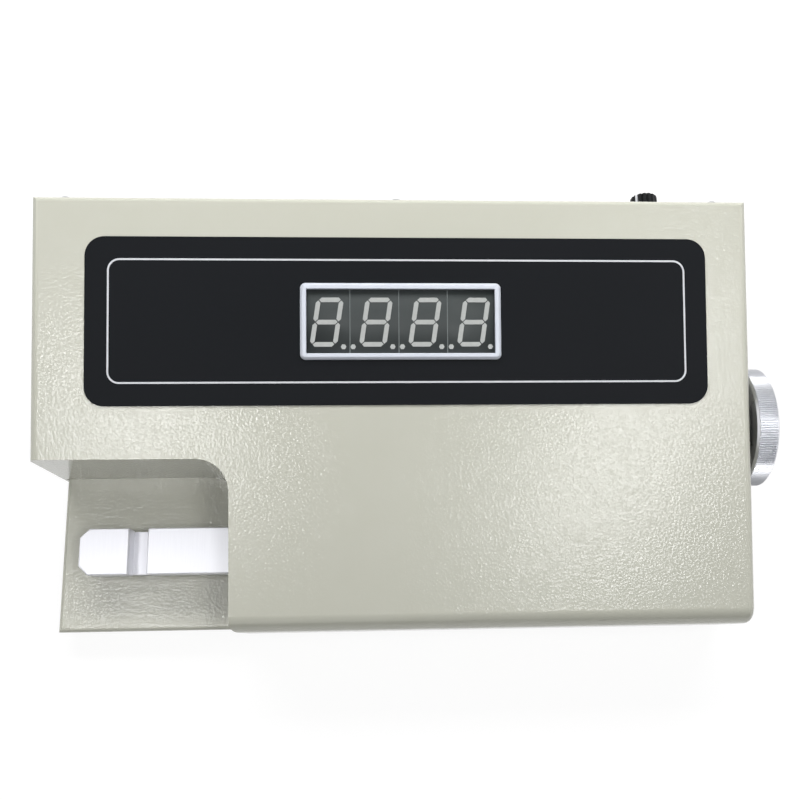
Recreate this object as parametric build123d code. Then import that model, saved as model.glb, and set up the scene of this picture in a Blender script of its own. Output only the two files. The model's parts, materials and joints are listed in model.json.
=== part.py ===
from build123d import *
from math import cos, pi, radians, sin, tan
import os

# Bench tester that crushes a tablet between an anvil and a screw-driven pusher.
# A folded steel wedge case holds the screw drive, the force sensor and the
# electronics. The anvil and the end of the pusher stand in a notch at the front
# left, and a knurled handwheel on the right turns the screw.
#
# Case coordinates, in millimetres: X runs right from the left wall, Y runs back
# from the front wall and Z up from the table. The last lines move every piece so
# that the origin is the centre of the base of the overall box.

os.makedirs("parts", exist_ok=True)

# ---- Driving dimensions ----------------------------------------------------
CASE_WIDTH = 300.0
CASE_DEPTH = 177.0
SLOPE = 10.0                 # tilt of the face, degrees
FRONT_HEIGHT = 47.5          # height of the sharp edge where face and front meet
SHEET = 1.2                  # thickness of all folded sheet
FOOT_CLEARANCE = 6.0         # lower edge of the case above the table
FLOOR_TOP = 14.0             # top of the base sheet, also the floor of the notch
COVER_GAP = 0.7              # between the cover and the base inside it

FRONT_BEND = 8.0             # outer radii of the cover
SIDE_BEND = 3.4
REAR_BEND = 2.5
NOTCH_X = 80.3               # right wall of the notch
NOTCH_Y = 69.7               # rear wall of the notch
NOTCH_ROUND = 13.5
NOTCH_CORNER = 3.5

PANEL_X = (22.0, 281.1)      # black front panel, on the face
PANEL_V = (92.4, 162.5)      # measured up the slope from the sharp front edge
PANEL_ROUND = 8.0
PANEL_THICK = 0.6
BEZEL_X = (109.7, 193.3)
BEZEL_V = (111.2, 143.2)
BEZEL_WIDTH = 2.6
MODULE_PITCH = 20.4
MODULE_SIZE = (20.1, 27.7, 8.0)
DIGIT_HEIGHT = 20.3
DIGIT_WIDTH = 11.4
DIGIT_SLANT = 8.6
SEGMENT = 1.9

JAW_Y = 35.0                 # centre line of the anvil and the pusher
JAW_WIDTH = 19.8
ANVIL_X = (14.4, 35.0)
PUSHER_TIP = 43.0
ANVIL_Z = (23.0, 33.0)
REST_Z = (17.0, 23.0)
SCREW_Y = 86.4               # axis of the handwheel and the lead screw
SCREW_Z = 37.0
ROD_SPACING = 48.0

WHEEL_RADIUS = 26.2
WHEEL_X = (302.5, 312.2)
KNURLS = 54
WHEEL_SIDES = 54             # flats of the turned rim, web and hub
KNURL_DEPTH = 0.45

KNOB_X = 262.3
KNOB_Z = 56.0
KNOB_RADIUS = 5.8
KNOB_REACH = 11.8            # end of the knob behind the rear wall
SCREW_HEAD = (2.8, 2.1)      # M3 pan head, radius and height
HOLE_SIDES = 6               # sides of screw holes and of the shanks in them
HEAD_SIDES = 8
FOOT_SIDES = 18

# ---- Worked-out places ------------------------------------------------------
COVER_INSIDE = CASE_DEPTH - SHEET
PANEL_BACK = COVER_INSIDE - SHEET          # inner side of the rear panel
UPSTAND_BACK = PANEL_BACK - SHEET
REAR_HEIGHT = FRONT_HEIGHT + CASE_DEPTH * tan(radians(SLOPE))
FLOOR_UNDER = FLOOR_TOP - SHEET
BASE_EDGE = SHEET + COVER_GAP
LID_SCREW_Z = REAR_HEIGHT - 7.6

face_plane = Plane(
    origin=(0, 0, FRONT_HEIGHT),
    x_dir=(1, 0, 0),
    z_dir=(0, -sin(radians(SLOPE)), cos(radians(SLOPE))),
)
on_face = Location(face_plane)
BACKWARD = Rot(-90, 0, 0)      # turns +Z to +Y
RIGHTWARD = Rot(0, 90, 0)      # turns +Z to +X
LEFTWARD = Rot(0, -90, 0)      # turns +Z to -X


def block(x, y, z):
    """Box between the two values of each pair."""
    middle = Pos((x[0] + x[1]) / 2, (y[0] + y[1]) / 2, (z[0] + z[1]) / 2)
    return middle * Box(x[1] - x[0], y[1] - y[0], z[1] - z[0])


def around(middle, reach):
    return middle - reach, middle + reach


def rod(radius, start, end):
    """Cylinder along Z."""
    return Pos(0, 0, (start + end) / 2) * Cylinder(radius, end - start)


def prism(radius, sides, start, end):
    """Regular bar along Z, its corners on the radius."""
    return Pos(0, 0, start) * extrude(RegularPolygon(radius, sides), end - start)


def group(solids):
    return Compound(list(solids))


def outline(points, rounds):
    """Closed polygon; rounds maps a corner's number to its radius."""
    sheet = Polygon(*points, align=None)
    for corner, radius in rounds.items():
        target = Vector(*points[corner])
        nearest = sheet.vertices().sort_by(lambda v: (Vector(*v) - target).length)[0]
        sheet = fillet(nearest, radius)
    return sheet


def pan_screw(length, shank=1.5, head=SCREW_HEAD):
    """Plain pan head screw; the head stands on Z 0 and the shank fills its hole."""
    radius, height = head
    return prism(radius, HEAD_SIDES, 0, height) + prism(shank, HOLE_SIDES, -length, 0)


def holes(places, radius, depth=10.0):
    """Drill bits along Z, centred on the places."""
    return group(place * prism(radius, HOLE_SIDES, -depth / 2, depth / 2) for place in places)


# ---- Case -------------------------------------------------------------------
def case_block(inset, bottom):
    """The case's outer form, drawn in by a distance on every side but the bottom.

    The bends run out straight at the rear, where the corners are welded and ground sharp.
    """
    low_y = inset
    high_y = CASE_DEPTH - inset
    past_rear = high_y + 10
    before_front = low_y - 10
    drop = inset / cos(radians(SLOPE))

    def top(y):
        return FRONT_HEIGHT + y * tan(radians(SLOPE)) - drop

    front_profile = outline(
        [(low_y, bottom), (past_rear, bottom), (past_rear, top(past_rear)), (low_y, top(low_y))],
        {3: FRONT_BEND - inset},
    )
    wedge = Pos(inset, 0, 0) * extrude(Plane.YZ * front_profile, CASE_WIDTH - 2 * inset)
    for side in (Axis.X, -Axis.X):
        rim = wedge.faces().sort_by(side)[-1].edges()
        rim = rim.filter_by(lambda e: e.center().Z > bottom + 1 and e.center().Y < high_y)
        wedge = fillet(rim, SIDE_BEND - inset)
    rear_profile = outline(
        [(before_front, bottom), (high_y, bottom), (high_y, top(high_y)), (before_front, top(before_front))],
        {2: REAR_BEND - inset},
    )
    wedge &= extrude(Plane.YZ * rear_profile, CASE_WIDTH)
    wall_x = NOTCH_X + inset
    wall_y = NOTCH_Y + inset
    plan = outline(
        [
            (wall_x, inset),
            (CASE_WIDTH + 5, inset),
            (CASE_WIDTH + 5, CASE_DEPTH + 5),
            (-5, CASE_DEPTH + 5),
            (-5, wall_y),
            (wall_x, wall_y),
        ],
        {0: NOTCH_CORNER - inset, 5: NOTCH_ROUND + inset},
    )
    return wedge & Pos(0, 0, bottom - 5) * extrude(plan, 120)


def lid_screw_places():
    return [Pos(x, CASE_DEPTH, LID_SCREW_Z) * BACKWARD for x in (12.0, 150.0, 287.0)]


def side_screw_places():
    height = (FOOT_CLEARANCE + FLOOR_UNDER) / 2
    left = [Pos(0, y, height) * LEFTWARD for y in (92.0, 158.0)]
    right = [Pos(CASE_WIDTH, y, height) * RIGHTWARD for y in (30.0, 146.0)]
    return left + right


def panel_screw_places():
    return [Pos(x, COVER_INSIDE, 22.0) * BACKWARD for x in (20.0, 165.0, 280.0)]


def top_cover():
    shell = case_block(0, FOOT_CLEARANCE) - case_block(SHEET, FOOT_CLEARANCE - 2)
    under_notch = block((-1, NOTCH_X + NOTCH_ROUND + 3), (SHEET, NOTCH_Y + SHEET), (0, FLOOR_TOP))
    left_wall = block((-1, SHEET), (NOTCH_Y, CASE_DEPTH), (0, FLOOR_TOP))
    shell -= under_notch - left_wall
    rear_window = block((7, CASE_WIDTH - 7), (COVER_INSIDE - 1, CASE_DEPTH + 1), (0, REAR_HEIGHT - 14))
    shell -= rear_window
    display_slot = on_face * block(
        (BEZEL_X[0] + 1.6, BEZEL_X[1] - 1.6),
        (BEZEL_V[0] + 1.6, BEZEL_V[1] - 1.6),
        (-4, 4),
    )
    shaft_hole = Pos(CASE_WIDTH, SCREW_Y, SCREW_Z) * RIGHTWARD * Cylinder(8.5, 10)
    slot_y = (JAW_Y - JAW_WIDTH / 2 - 0.8, JAW_Y + JAW_WIDTH / 2 + 0.8)
    jaw_slot = block((NOTCH_X - 3, NOTCH_X + 4), slot_y, (FLOOR_TOP - 1, ANVIL_Z[1] + 1.0))
    shell -= display_slot + shaft_hole + jaw_slot
    shell -= holes(lid_screw_places() + side_screw_places(), 1.5)
    return shell


def base_tray():
    """Floor with three flanges folded down and an upstand at the rear."""
    width = (BASE_EDGE, CASE_WIDTH - BASE_EDGE)
    outer = block(width, (BASE_EDGE, PANEL_BACK), (FOOT_CLEARANCE, FLOOR_TOP))
    rims = outer.faces().sort_by(Axis.Z)[-1].edges().sort_by(Axis.Y)[:-1]
    outer = fillet(rims, 1.8)
    inner = block(
        (BASE_EDGE + SHEET, CASE_WIDTH - BASE_EDGE - SHEET),
        (BASE_EDGE + SHEET, PANEL_BACK + 1),
        (FOOT_CLEARANCE - 1, FLOOR_UNDER),
    )
    inner = fillet(inner.faces().sort_by(Axis.Z)[-1].edges().sort_by(Axis.Y)[:-1], 0.6)
    tray = outer - inner
    tray -= block((0, CASE_WIDTH), (UPSTAND_BACK, PANEL_BACK + 1), (0, FLOOR_TOP + 1))
    upstand = outline(
        [
            (UPSTAND_BACK - 3, FLOOR_UNDER),
            (PANEL_BACK, FLOOR_UNDER),
            (PANEL_BACK, 30.0),
            (UPSTAND_BACK, 30.0),
            (UPSTAND_BACK, FLOOR_TOP),
            (UPSTAND_BACK - 3, FLOOR_TOP),
        ],
        {1: 1.8, 4: 0.6},
    )
    tray += Pos(8, 0, 0) * extrude(Plane.YZ * upstand, CASE_WIDTH - 16)
    tray -= holes(side_screw_places() + panel_screw_places(), 1.5, 16)
    tray -= holes(anvil_screw_places(), 2.0, 60)
    tray -= holes(anvil_arm_places(), 2.5, 60)
    tray -= holes(end_plate_places(), 2.0, 60)
    tray -= holes(guide_places(), 1.5, 60)
    tray -= holes(board_places(), 1.5, 60)
    tray -= holes(transformer_places(), 1.5, 60)
    return tray


INLET_X = 42.0
INLET_BODY = (13.5, 10.0)    # half width and half height behind the panel
SWITCH_X = 92.0
SWITCH_BODY = (6.5, 9.6)
FUSE_X = 126.0
SOCKET_Z = 42.0


def rear_panel():
    side = 4.3
    plate = block((side, CASE_WIDTH - side), (PANEL_BACK, COVER_INSIDE), (10.0, REAR_HEIGHT - 3.6))
    plate = chamfer(plate.edges().filter_by(Axis.Y), 2)
    through = (PANEL_BACK - 1, CASE_DEPTH)
    cutters = block(around(INLET_X, INLET_BODY[0]), through, around(SOCKET_Z, INLET_BODY[1]))
    cutters += block(around(SWITCH_X, SWITCH_BODY[0]), through, around(SOCKET_Z, SWITCH_BODY[1]))
    cutters += Pos(FUSE_X, COVER_INSIDE, SOCKET_Z) * BACKWARD * prism(6.0, BUSH_SIDES, -4, 4)
    cutters += Pos(KNOB_X, COVER_INSIDE, KNOB_Z) * BACKWARD * prism(POT_BUSH, BUSH_SIDES, -4, 4)
    plate -= cutters
    plate -= holes(lid_screw_places() + panel_screw_places() + inlet_screw_places(), 1.5, 12)
    return plate


def rubber_feet():
    front = 20.0
    side = 24.0
    rear = CASE_DEPTH - side
    places = [(side, front), (CASE_WIDTH - side, front), (side, rear), (CASE_WIDTH - side, rear)]
    rings = ((7.6, 0), (8.8, 1.2), (10.0, FLOOR_UNDER))
    rings = [Pos(0, 0, z) * RegularPolygon(radius, FOOT_SIDES) for radius, z in rings]
    foot = loft(rings[:2], ruled=True) + loft(rings[1:], ruled=True)
    return group(Pos(x, y, 0) * foot for x, y in places)


# ---- Display on the face ----------------------------------------------------
def overlay_panel():
    plate = on_face * block(PANEL_X, PANEL_V, (0, PANEL_THICK))
    plate = fillet(plate.edges().filter_by(lambda e: abs(e.length - PANEL_THICK) < 0.01), PANEL_ROUND)
    window = block((BEZEL_X[0] + 1.0, BEZEL_X[1] - 1.0), (BEZEL_V[0] + 1.0, BEZEL_V[1] - 1.0), (-1, 2))
    return plate - on_face * window


def rounded_bar(x, v, h, radius):
    """Box on the face with rounded plan corners."""
    sheet = RectangleRounded(x[1] - x[0], v[1] - v[0], radius)
    return Pos((x[0] + x[1]) / 2, (v[0] + v[1]) / 2, h[0]) * extrude(sheet, h[1] - h[0])


def display_bezel():
    """Moulded frame: a bevelled rim over the panel and a skirt through the slot."""
    rim = rounded_bar(BEZEL_X, BEZEL_V, (PANEL_THICK, PANEL_THICK + 1.6), 2.3)
    rim = chamfer(rim.faces().sort_by(Axis.Z)[-1].edges(), 1.0)
    skirt_x = (BEZEL_X[0] + 1.7, BEZEL_X[1] - 1.7)
    skirt_v = (BEZEL_V[0] + 1.7, BEZEL_V[1] - 1.7)
    skirt = block(skirt_x, skirt_v, (-2.8, PANEL_THICK + 0.2))
    inner_x = (BEZEL_X[0] + BEZEL_WIDTH, BEZEL_X[1] - BEZEL_WIDTH)
    inner_v = (BEZEL_V[0] + BEZEL_WIDTH, BEZEL_V[1] - BEZEL_WIDTH)
    window = block(inner_x, inner_v, (-5, 5))
    return on_face * (rim + skirt - window)


DISPLAY_V = (BEZEL_V[0] + BEZEL_V[1]) / 2
MODULE_FACE = -3.0           # digit faces, below the case's face
MODULE_SHIFT = -0.9          # the row of modules sits a little left in its frame


def module_centres():
    middle = (BEZEL_X[0] + BEZEL_X[1]) / 2 + MODULE_SHIFT
    return [middle + (index - 1.5) * MODULE_PITCH for index in range(4)]


def digit_modules():
    wide, high, deep = MODULE_SIZE
    modules = []
    for x in module_centres():
        body = block((x - wide / 2, x + wide / 2), (DISPLAY_V - high / 2, DISPLAY_V + high / 2),
                     (MODULE_FACE - deep, MODULE_FACE))
        modules.append(on_face * body)
    return group(modules)


def bar_segment(length, upright):
    """One segment with mitred ends, lying along X or Y."""
    half = length / 2
    tip = half - SEGMENT / 2
    points = [
        (-half, 0), (-tip, -SEGMENT / 2), (tip, -SEGMENT / 2),
        (half, 0), (tip, SEGMENT / 2), (-tip, SEGMENT / 2),
    ]
    if upright:
        points = [(-y, x) for x, y in points]
    return points


def digit_segments():
    """Seven slanted bars and two dots on each of the four modules."""
    across = DIGIT_WIDTH - SEGMENT
    storey = (DIGIT_HEIGHT - SEGMENT) / 2
    gap = 0.55
    bars = [((0, level), bar_segment(across - gap, False)) for level in (storey, 0, -storey)]
    for side in (-across / 2, across / 2):
        for level in (storey / 2, -storey / 2):
            bars.append(((side, level), bar_segment(storey - gap, True)))
    lean = tan(radians(DIGIT_SLANT))
    inks = []
    for module_x in module_centres():
        centre_x = module_x + 1.2
        centre_v = DISPLAY_V - 0.75
        for (x, v), points in bars:
            moved = [(centre_x + x + px + (v + pv) * lean, centre_v + v + pv) for px, pv in points]
            ink = Pos(0, 0, MODULE_FACE) * extrude(Polygon(*moved, align=None), 0.12)
            inks.append(on_face * ink)
        for side in (-8.3, 8.1):
            dot = Pos(module_x + side, centre_v - 10.2, MODULE_FACE) * prism(1.15, HOLE_SIDES, 0, 0.12)
            inks.append(on_face * dot)
    return group(inks)


BOARD_TOP = MODULE_FACE - MODULE_SIZE[2]


def display_post_places():
    centre = (BEZEL_X[0] + BEZEL_X[1]) / 2
    spots = [(x, v) for x in (centre - 47, centre + 47) for v in (DISPLAY_V - 13, DISPLAY_V + 13)]
    return [on_face * Pos(x, v, 0) for x, v in spots]


def display_board():
    centre = (BEZEL_X[0] + BEZEL_X[1]) / 2
    board_v = (DISPLAY_V - 17, DISPLAY_V + 17)
    board = on_face * block((centre - 52, centre + 52), board_v, (BOARD_TOP - 1.6, BOARD_TOP))
    board -= holes(display_post_places(), 1.5, 60)
    for left in (centre - 30, centre + 6):
        chip = block((left, left + 20), (DISPLAY_V - 4, DISPLAY_V + 4), (BOARD_TOP - 4.6, BOARD_TOP - 1.6))
        board += on_face * chip
    return board


def display_posts():
    post = prism(3.0, 6, BOARD_TOP, -SHEET) - prism(1.5, HOLE_SIDES, BOARD_TOP - 1, 0)
    return group(place * post for place in display_post_places())


def display_screws():
    turned = Rot(180, 0, 0) * pan_screw(6.0)
    return group(place * Pos(0, 0, BOARD_TOP - 1.6) * turned for place in display_post_places())


# ---- Jaws -------------------------------------------------------------------
REST_END = 118.0


def anvil_screw_places():
    return [Pos(x, JAW_Y, FLOOR_TOP) for x in (19.0, 30.0)]


def anvil_arm_places():
    return [Pos(x, JAW_Y, FLOOR_TOP) for x in (92.0, 110.0)]


def anvil():
    """Bright block that the tablet is pressed against, two corners cut off."""
    body = block(ANVIL_X, (JAW_Y - JAW_WIDTH / 2, JAW_Y + JAW_WIDTH / 2), ANVIL_Z)
    corners = body.edges().filter_by(Axis.Z).sort_by(Axis.X)[:2]
    body = chamfer(corners, 3.9)
    body = chamfer(body.faces().sort_by(Axis.Z)[-1].edges(), 0.4)
    return body - holes(anvil_screw_places(), 2.0, 32)


def rest_plate():
    """Bar under both jaws: the tablet lies on it, and its right end is fixed inside."""
    body = block((ANVIL_X[0], REST_END), (JAW_Y - 9.3, JAW_Y + 9.3), REST_Z)
    corners = body.edges().filter_by(Axis.Z).sort_by(Axis.X)[:2]
    body = chamfer(corners, 3.4)
    return body - holes(anvil_screw_places(), 2.0, 32) - holes(anvil_arm_places(), 2.5, 16)


def arm_spacers():
    first = block((ANVIL_X[0] + 1.2, ANVIL_X[1] - 1.3), (JAW_Y - 8, JAW_Y + 8), (FLOOR_TOP, REST_Z[0]))
    second = block((86.0, 116.0), (JAW_Y - 8, JAW_Y + 8), (FLOOR_TOP, REST_Z[0]))
    return group([first - holes(anvil_screw_places(), 2.0), second - holes(anvil_arm_places(), 2.5)])


def from_below(places, screw):
    """Screws driven up through the floor, heads under it."""
    return group(place * Pos(0, 0, -SHEET) * Rot(180, 0, 0) * screw for place in places)


def anvil_screws():
    return from_below(anvil_screw_places(), pan_screw(ANVIL_Z[1] - FLOOR_UNDER - 3.0, 2.0, (3.8, 2.7)))


def arm_screws():
    return from_below(anvil_arm_places(), pan_screw(9.2, 2.5, (4.6, 2.9)))


# ---- Screw drive ------------------------------------------------------------
PUSHER_Z = (ANVIL_Z[0] + 0.5, ANVIL_Z[1])
PUSHER_AXIS = (PUSHER_Z[0] + PUSHER_Z[1]) / 2
PUSHER_END = 150.0
CELL_END = 190.0
CROSSHEAD_X = (190.0, 208.0)
PLATES_X = ((150.0, 160.0), (284.0, 294.0))
PLATE_Y = (52.0, 121.0)
PLATE_TOP = 48.0
ROD_RADIUS = 4.0
ROD_SIDES = 24
JOURNAL = 4.0
THREAD = 5.0
RUNNING = 0.05               # radial clearance of turning and sliding fits
BUSH_RADIUS = 6.5
BUSH_SIDES = 16
screw_axis = Pos(0, SCREW_Y, SCREW_Z) * RIGHTWARD      # local Z runs along X


def rod_axes():
    return [Pos(0, SCREW_Y + side * ROD_SPACING / 2, SCREW_Z) * RIGHTWARD for side in (-1, 1)]


def end_plate_places():
    return [Pos((x[0] + x[1]) / 2, y, FLOOR_TOP) for x in PLATES_X for y in (72.0, 101.0)]


def end_plates():
    plates = []
    for x in PLATES_X:
        plate = block(x, PLATE_Y, (FLOOR_TOP, PLATE_TOP))
        plate = chamfer(plate.edges().filter_by(Axis.X).sort_by(Axis.Z)[-2:], 4)
        plate -= screw_axis * prism(BUSH_RADIUS, BUSH_SIDES, x[0] - 1, x[1] + 1)
        plate -= group(axis * prism(ROD_RADIUS, ROD_SIDES, x[0] - 1, x[1] + 1) for axis in rod_axes())
        plates.append(plate - holes(end_plate_places(), 2.0, 24))
    return group(plates)


def end_plate_screws():
    return from_below(end_plate_places(), pan_screw(13.2, 2.0, (3.8, 2.7)))


def turning_bore(radius, start, end):
    """Bore with flats that stand the running clearance off a round shaft."""
    return prism((radius + RUNNING) / cos(pi / ROD_SIDES), ROD_SIDES, start, end)


def screw_bearings():
    """Flanged bushes in the end plates, flanges towards the nut."""
    bore = turning_bore(JOURNAL, 100, 300)
    left, right = [prism(BUSH_RADIUS, BUSH_SIDES, *x) for x in PLATES_X]
    left += prism(8.5, BUSH_SIDES, PLATES_X[0][1], PLATES_X[0][1] + 2)
    right += prism(8.5, BUSH_SIDES, PLATES_X[1][0] - 2, PLATES_X[1][0])
    return group(screw_axis * (bush - bore) for bush in (left, right))


def guide_rods():
    bar = prism(ROD_RADIUS, ROD_SIDES, PLATES_X[0][0], PLATES_X[1][1])
    return group(axis * bar for axis in rod_axes())


WHEEL_FACE = WHEEL_X[1] - 2.7          # outer side of the web


def lead_screw():
    thread = rod(THREAD, PLATES_X[0][1] + 2.5, PLATES_X[1][0] - 2.5)
    journals = rod(JOURNAL, PLATES_X[0][0] - 5, WHEEL_FACE)
    return screw_axis * (thread + journals - prism(2.0, HOLE_SIDES, WHEEL_FACE - 10, WHEEL_FACE + 1))


def shaft_collars():
    left = prism(8.0, BUSH_SIDES, PLATES_X[0][0] - 4.3, PLATES_X[0][0] - 0.3)
    right = prism(8.0, BUSH_SIDES, PLATES_X[1][1] + 0.3, PLATES_X[1][1] + 4.3)
    bore = prism(JOURNAL / cos(pi / BUSH_SIDES), BUSH_SIDES, 100, 320)
    return group(screw_axis * (collar - bore) for collar in (left, right))


def handwheel():
    """Turned aluminium wheel: straight-knurled rim, web and hub."""
    inner, outer = WHEEL_X
    rim_bore = WHEEL_RADIUS - 6
    edge = 0.8
    rim = []
    for number in range(2 * KNURLS):
        angle = pi * number / KNURLS
        reach = WHEEL_RADIUS - KNURL_DEPTH * (number % 2)
        rim.append((reach * cos(angle), reach * sin(angle)))
    wheel = Pos(0, 0, inner + edge) * extrude(Polygon(*rim, align=None), outer - inner - 2 * edge)
    for face, end in ((outer - edge, outer), (inner + edge, inner)):
        root = Pos(0, 0, face) * RegularPolygon(WHEEL_RADIUS - KNURL_DEPTH, WHEEL_SIDES)
        lip = Pos(0, 0, end) * RegularPolygon(WHEEL_RADIUS - KNURL_DEPTH - edge, WHEEL_SIDES)
        wheel += loft([root, lip], ruled=True)
    wheel -= prism(rim_bore, WHEEL_SIDES, WHEEL_FACE, outer + 1)
    wheel -= prism(rim_bore, WHEEL_SIDES, inner - 1, inner + 3.2)
    wheel += prism(9.0, 32, inner - 1.2, inner + 4)
    return screw_axis * (wheel - rod(JOURNAL, inner - 2, outer))


def wheel_washer():
    washer = prism(7.0, BUSH_SIDES, WHEEL_FACE, WHEEL_FACE + 1)
    return screw_axis * (washer - prism(2.0, HOLE_SIDES, WHEEL_FACE - 1, WHEEL_FACE + 2))


def wheel_screw():
    return screw_axis * Pos(0, 0, WHEEL_FACE + 1) * pan_screw(9.0, 2.0, (3.6, 1.6))


# ---- Carriage ---------------------------------------------------------------
NUT_FLANGE = 5.0


def nut_screw_places():
    lift = Pos(0, 0, CROSSHEAD_X[1] + NUT_FLANGE)
    return [screw_axis * lift * Rot(0, 0, 45 + 90 * n) * Pos(11.2, 0, 0) for n in range(4)]


jaw_axis = Pos(0, JAW_Y, PUSHER_AXIS) * RIGHTWARD


def crosshead():
    """Plate that rides on the rods and reaches forward to the pusher's line."""
    side = outline(
        [(24, 18), (PLATE_Y[1], 18), (PLATE_Y[1], 47), (58, 47), (48, 38), (24, 38)],
        {2: 4, 5: 3},
    )
    body = Pos(CROSSHEAD_X[0], 0, 0) * extrude(Plane.YZ * side, CROSSHEAD_X[1] - CROSSHEAD_X[0])
    body -= screw_axis * prism(8.0, BUSH_SIDES, 150, 250)
    body -= group(axis * prism(BUSH_RADIUS, BUSH_SIDES, 150, 250) for axis in rod_axes())
    body -= jaw_axis * prism(3.0, HOLE_SIDES, 150, 250)
    return body - holes(nut_screw_places(), 1.5, 40)


def guide_bushes():
    bush = prism(BUSH_RADIUS, BUSH_SIDES, *CROSSHEAD_X)
    bush -= prism(ROD_RADIUS + RUNNING, ROD_SIDES, 150, 250)
    return group(axis * bush for axis in rod_axes())


def drive_nut():
    body = prism(8.0, BUSH_SIDES, *CROSSHEAD_X)
    body += prism(14.5, BUSH_SIDES, CROSSHEAD_X[1], CROSSHEAD_X[1] + NUT_FLANGE)
    nut = screw_axis * (body - turning_bore(THREAD, 150, 250))
    return nut - holes(nut_screw_places(), 1.5, 40)


def nut_screws():
    return group(place * pan_screw(12.0) for place in nut_screw_places())


def load_cell():
    """S-shaped spring body: two slots from opposite sides and a round middle."""
    start, end = PUSHER_END, CELL_END
    middle = (start + end) / 2
    low, high = PUSHER_AXIS - 12, PUSHER_AXIS + 12
    wide = (JAW_Y - 6, JAW_Y + 6)
    body = block((start, end), wide, (low, high))
    body -= block((start + 11, start + 13), (0, 60), (low + 6, high + 1))
    body -= block((end - 13, end - 11), (0, 60), (low - 1, high - 6))
    body -= Pos(middle, JAW_Y, PUSHER_AXIS) * BACKWARD * prism(4.5, BUSH_SIDES, -20, 20)
    ends = prism(3.0, HOLE_SIDES, start - 1, start + 9) + prism(3.0, HOLE_SIDES, end - 9, end + 1)
    return body - jaw_axis * ends


def pusher_stud():
    return jaw_axis * prism(3.0, HOLE_SIDES, PUSHER_END - 14, PUSHER_END + 8.5)


def cell_bolt():
    head = Pos(0, 0, CROSSHEAD_X[1]) * extrude(RegularPolygon(5.0, 6, major_radius=False), 4)
    return jaw_axis * (head + prism(3.0, HOLE_SIDES, CELL_END - 8.5, CROSSHEAD_X[1]))


def pusher_bar():
    body = block((PUSHER_TIP, PUSHER_END), (JAW_Y - JAW_WIDTH / 2, JAW_Y + JAW_WIDTH / 2), PUSHER_Z)
    body = chamfer(body.edges().filter_by(Axis.X) + body.faces().sort_by(Axis.X)[0].edges(), 0.4)
    return body - jaw_axis * prism(3.0, HOLE_SIDES, PUSHER_END - 14, PUSHER_END + 1)


def guide_places():
    return [Pos(93.0, JAW_Y + side * 13.4, FLOOR_TOP) for side in (-1, 1)]


def pusher_guide():
    """Plastic bridge inside the case that keeps the pusher level."""
    body = block((85.0, 101.0), (JAW_Y - 16.5, JAW_Y + 16.5), (FLOOR_TOP, PUSHER_Z[1] + 6))
    body -= block((80, 110), (JAW_Y - 10.3, JAW_Y + 10.3), (FLOOR_TOP - 1, PUSHER_Z[1] + 0.3))
    body = chamfer(body.edges().filter_by(Axis.X).sort_by(Axis.Z)[-2:], 2)
    return body - holes(guide_places(), 1.5, 20)


def guide_screws():
    return from_below(guide_places(), pan_screw(11.0))


# ---- Electronics ------------------------------------------------------------
BOARD_X = (105.0, 225.0)
BOARD_Y = (128.0, 167.0)
BOARD_Z = (20.0, 21.6)


def board_places():
    spots = [(x, y) for x in (BOARD_X[0] + 5, BOARD_X[1] - 5) for y in (BOARD_Y[0] + 5, BOARD_Y[1] - 5)]
    return [Pos(x, y, FLOOR_TOP) for x, y in spots]


def main_board():
    return block(BOARD_X, BOARD_Y, BOARD_Z) - holes(board_places(), 1.5, 30)


def board_parts():
    top = BOARD_Z[1]
    cans = ((120, 140, 5, 14), (133, 140, 5, 14), (122, 155, 4, 10))
    solids = [Pos(x, y, 0) * prism(r, BUSH_SIDES, top, top + h) for x, y, r, h in cans]
    chips = ((150, 168, 136, 146, 3), (176, 200, 150, 160, 3), (205, 217, 138, 150, 8))
    solids += [block((x0, x1), (y0, y1), (top, top + h)) for x0, x1, y0, y1, h in chips]
    fins = block((140, 146), (148, 160), (top, top + 16))
    fins -= group(block((142, 147), (149 + 3 * n, 150.5 + 3 * n), (top + 2, top + 17)) for n in range(4))
    return group(solids + [fins])


def board_spacers():
    height = BOARD_Z[0] - FLOOR_TOP
    spacer = prism(3.2, 6, 0, height) - prism(1.5, HOLE_SIDES, -1, height + 1)
    return group(place * spacer for place in board_places())


def board_screws():
    lift = Pos(0, 0, BOARD_Z[1] - FLOOR_TOP)
    return group(place * lift * pan_screw(BOARD_Z[1] - FLOOR_UNDER) for place in board_places())


CORE_X = (22.0, 64.0)
CORE_Y = (104.0, 122.0)
CORE_TOP = 49.0
CORE_MIDDLE = (CORE_X[0] + CORE_X[1]) / 2


def transformer_places():
    return [Pos(x, (CORE_Y[0] + CORE_Y[1]) / 2, FLOOR_TOP) for x in (CORE_X[0] - 7, CORE_X[1] + 7)]


def transformer_core():
    """Stack of laminations with two windows for the winding."""
    core = block(CORE_X, CORE_Y, (FLOOR_TOP, CORE_TOP))
    for side in (-1, 1):
        x = sorted((CORE_MIDDLE + side * 7, CORE_MIDDLE + side * 14))
        core -= block(x, (CORE_Y[0] - 1, CORE_Y[1] + 1), (FLOOR_TOP + 7, CORE_TOP - 7))
    return core


def transformer_winding():
    high = (FLOOR_TOP + 7, CORE_TOP - 7)
    coil = block((CORE_MIDDLE - 14, CORE_MIDDLE + 14), (CORE_Y[0] - 7, CORE_Y[1] + 7), high)
    coil = chamfer(coil.edges().filter_by(Axis.Z), 3)
    core = block((CORE_MIDDLE - 7, CORE_MIDDLE + 7), CORE_Y, high)
    legs = block((0, CORE_MIDDLE - 14), CORE_Y, high) + block((CORE_MIDDLE + 14, 90), CORE_Y, high)
    return coil - core - legs


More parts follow.
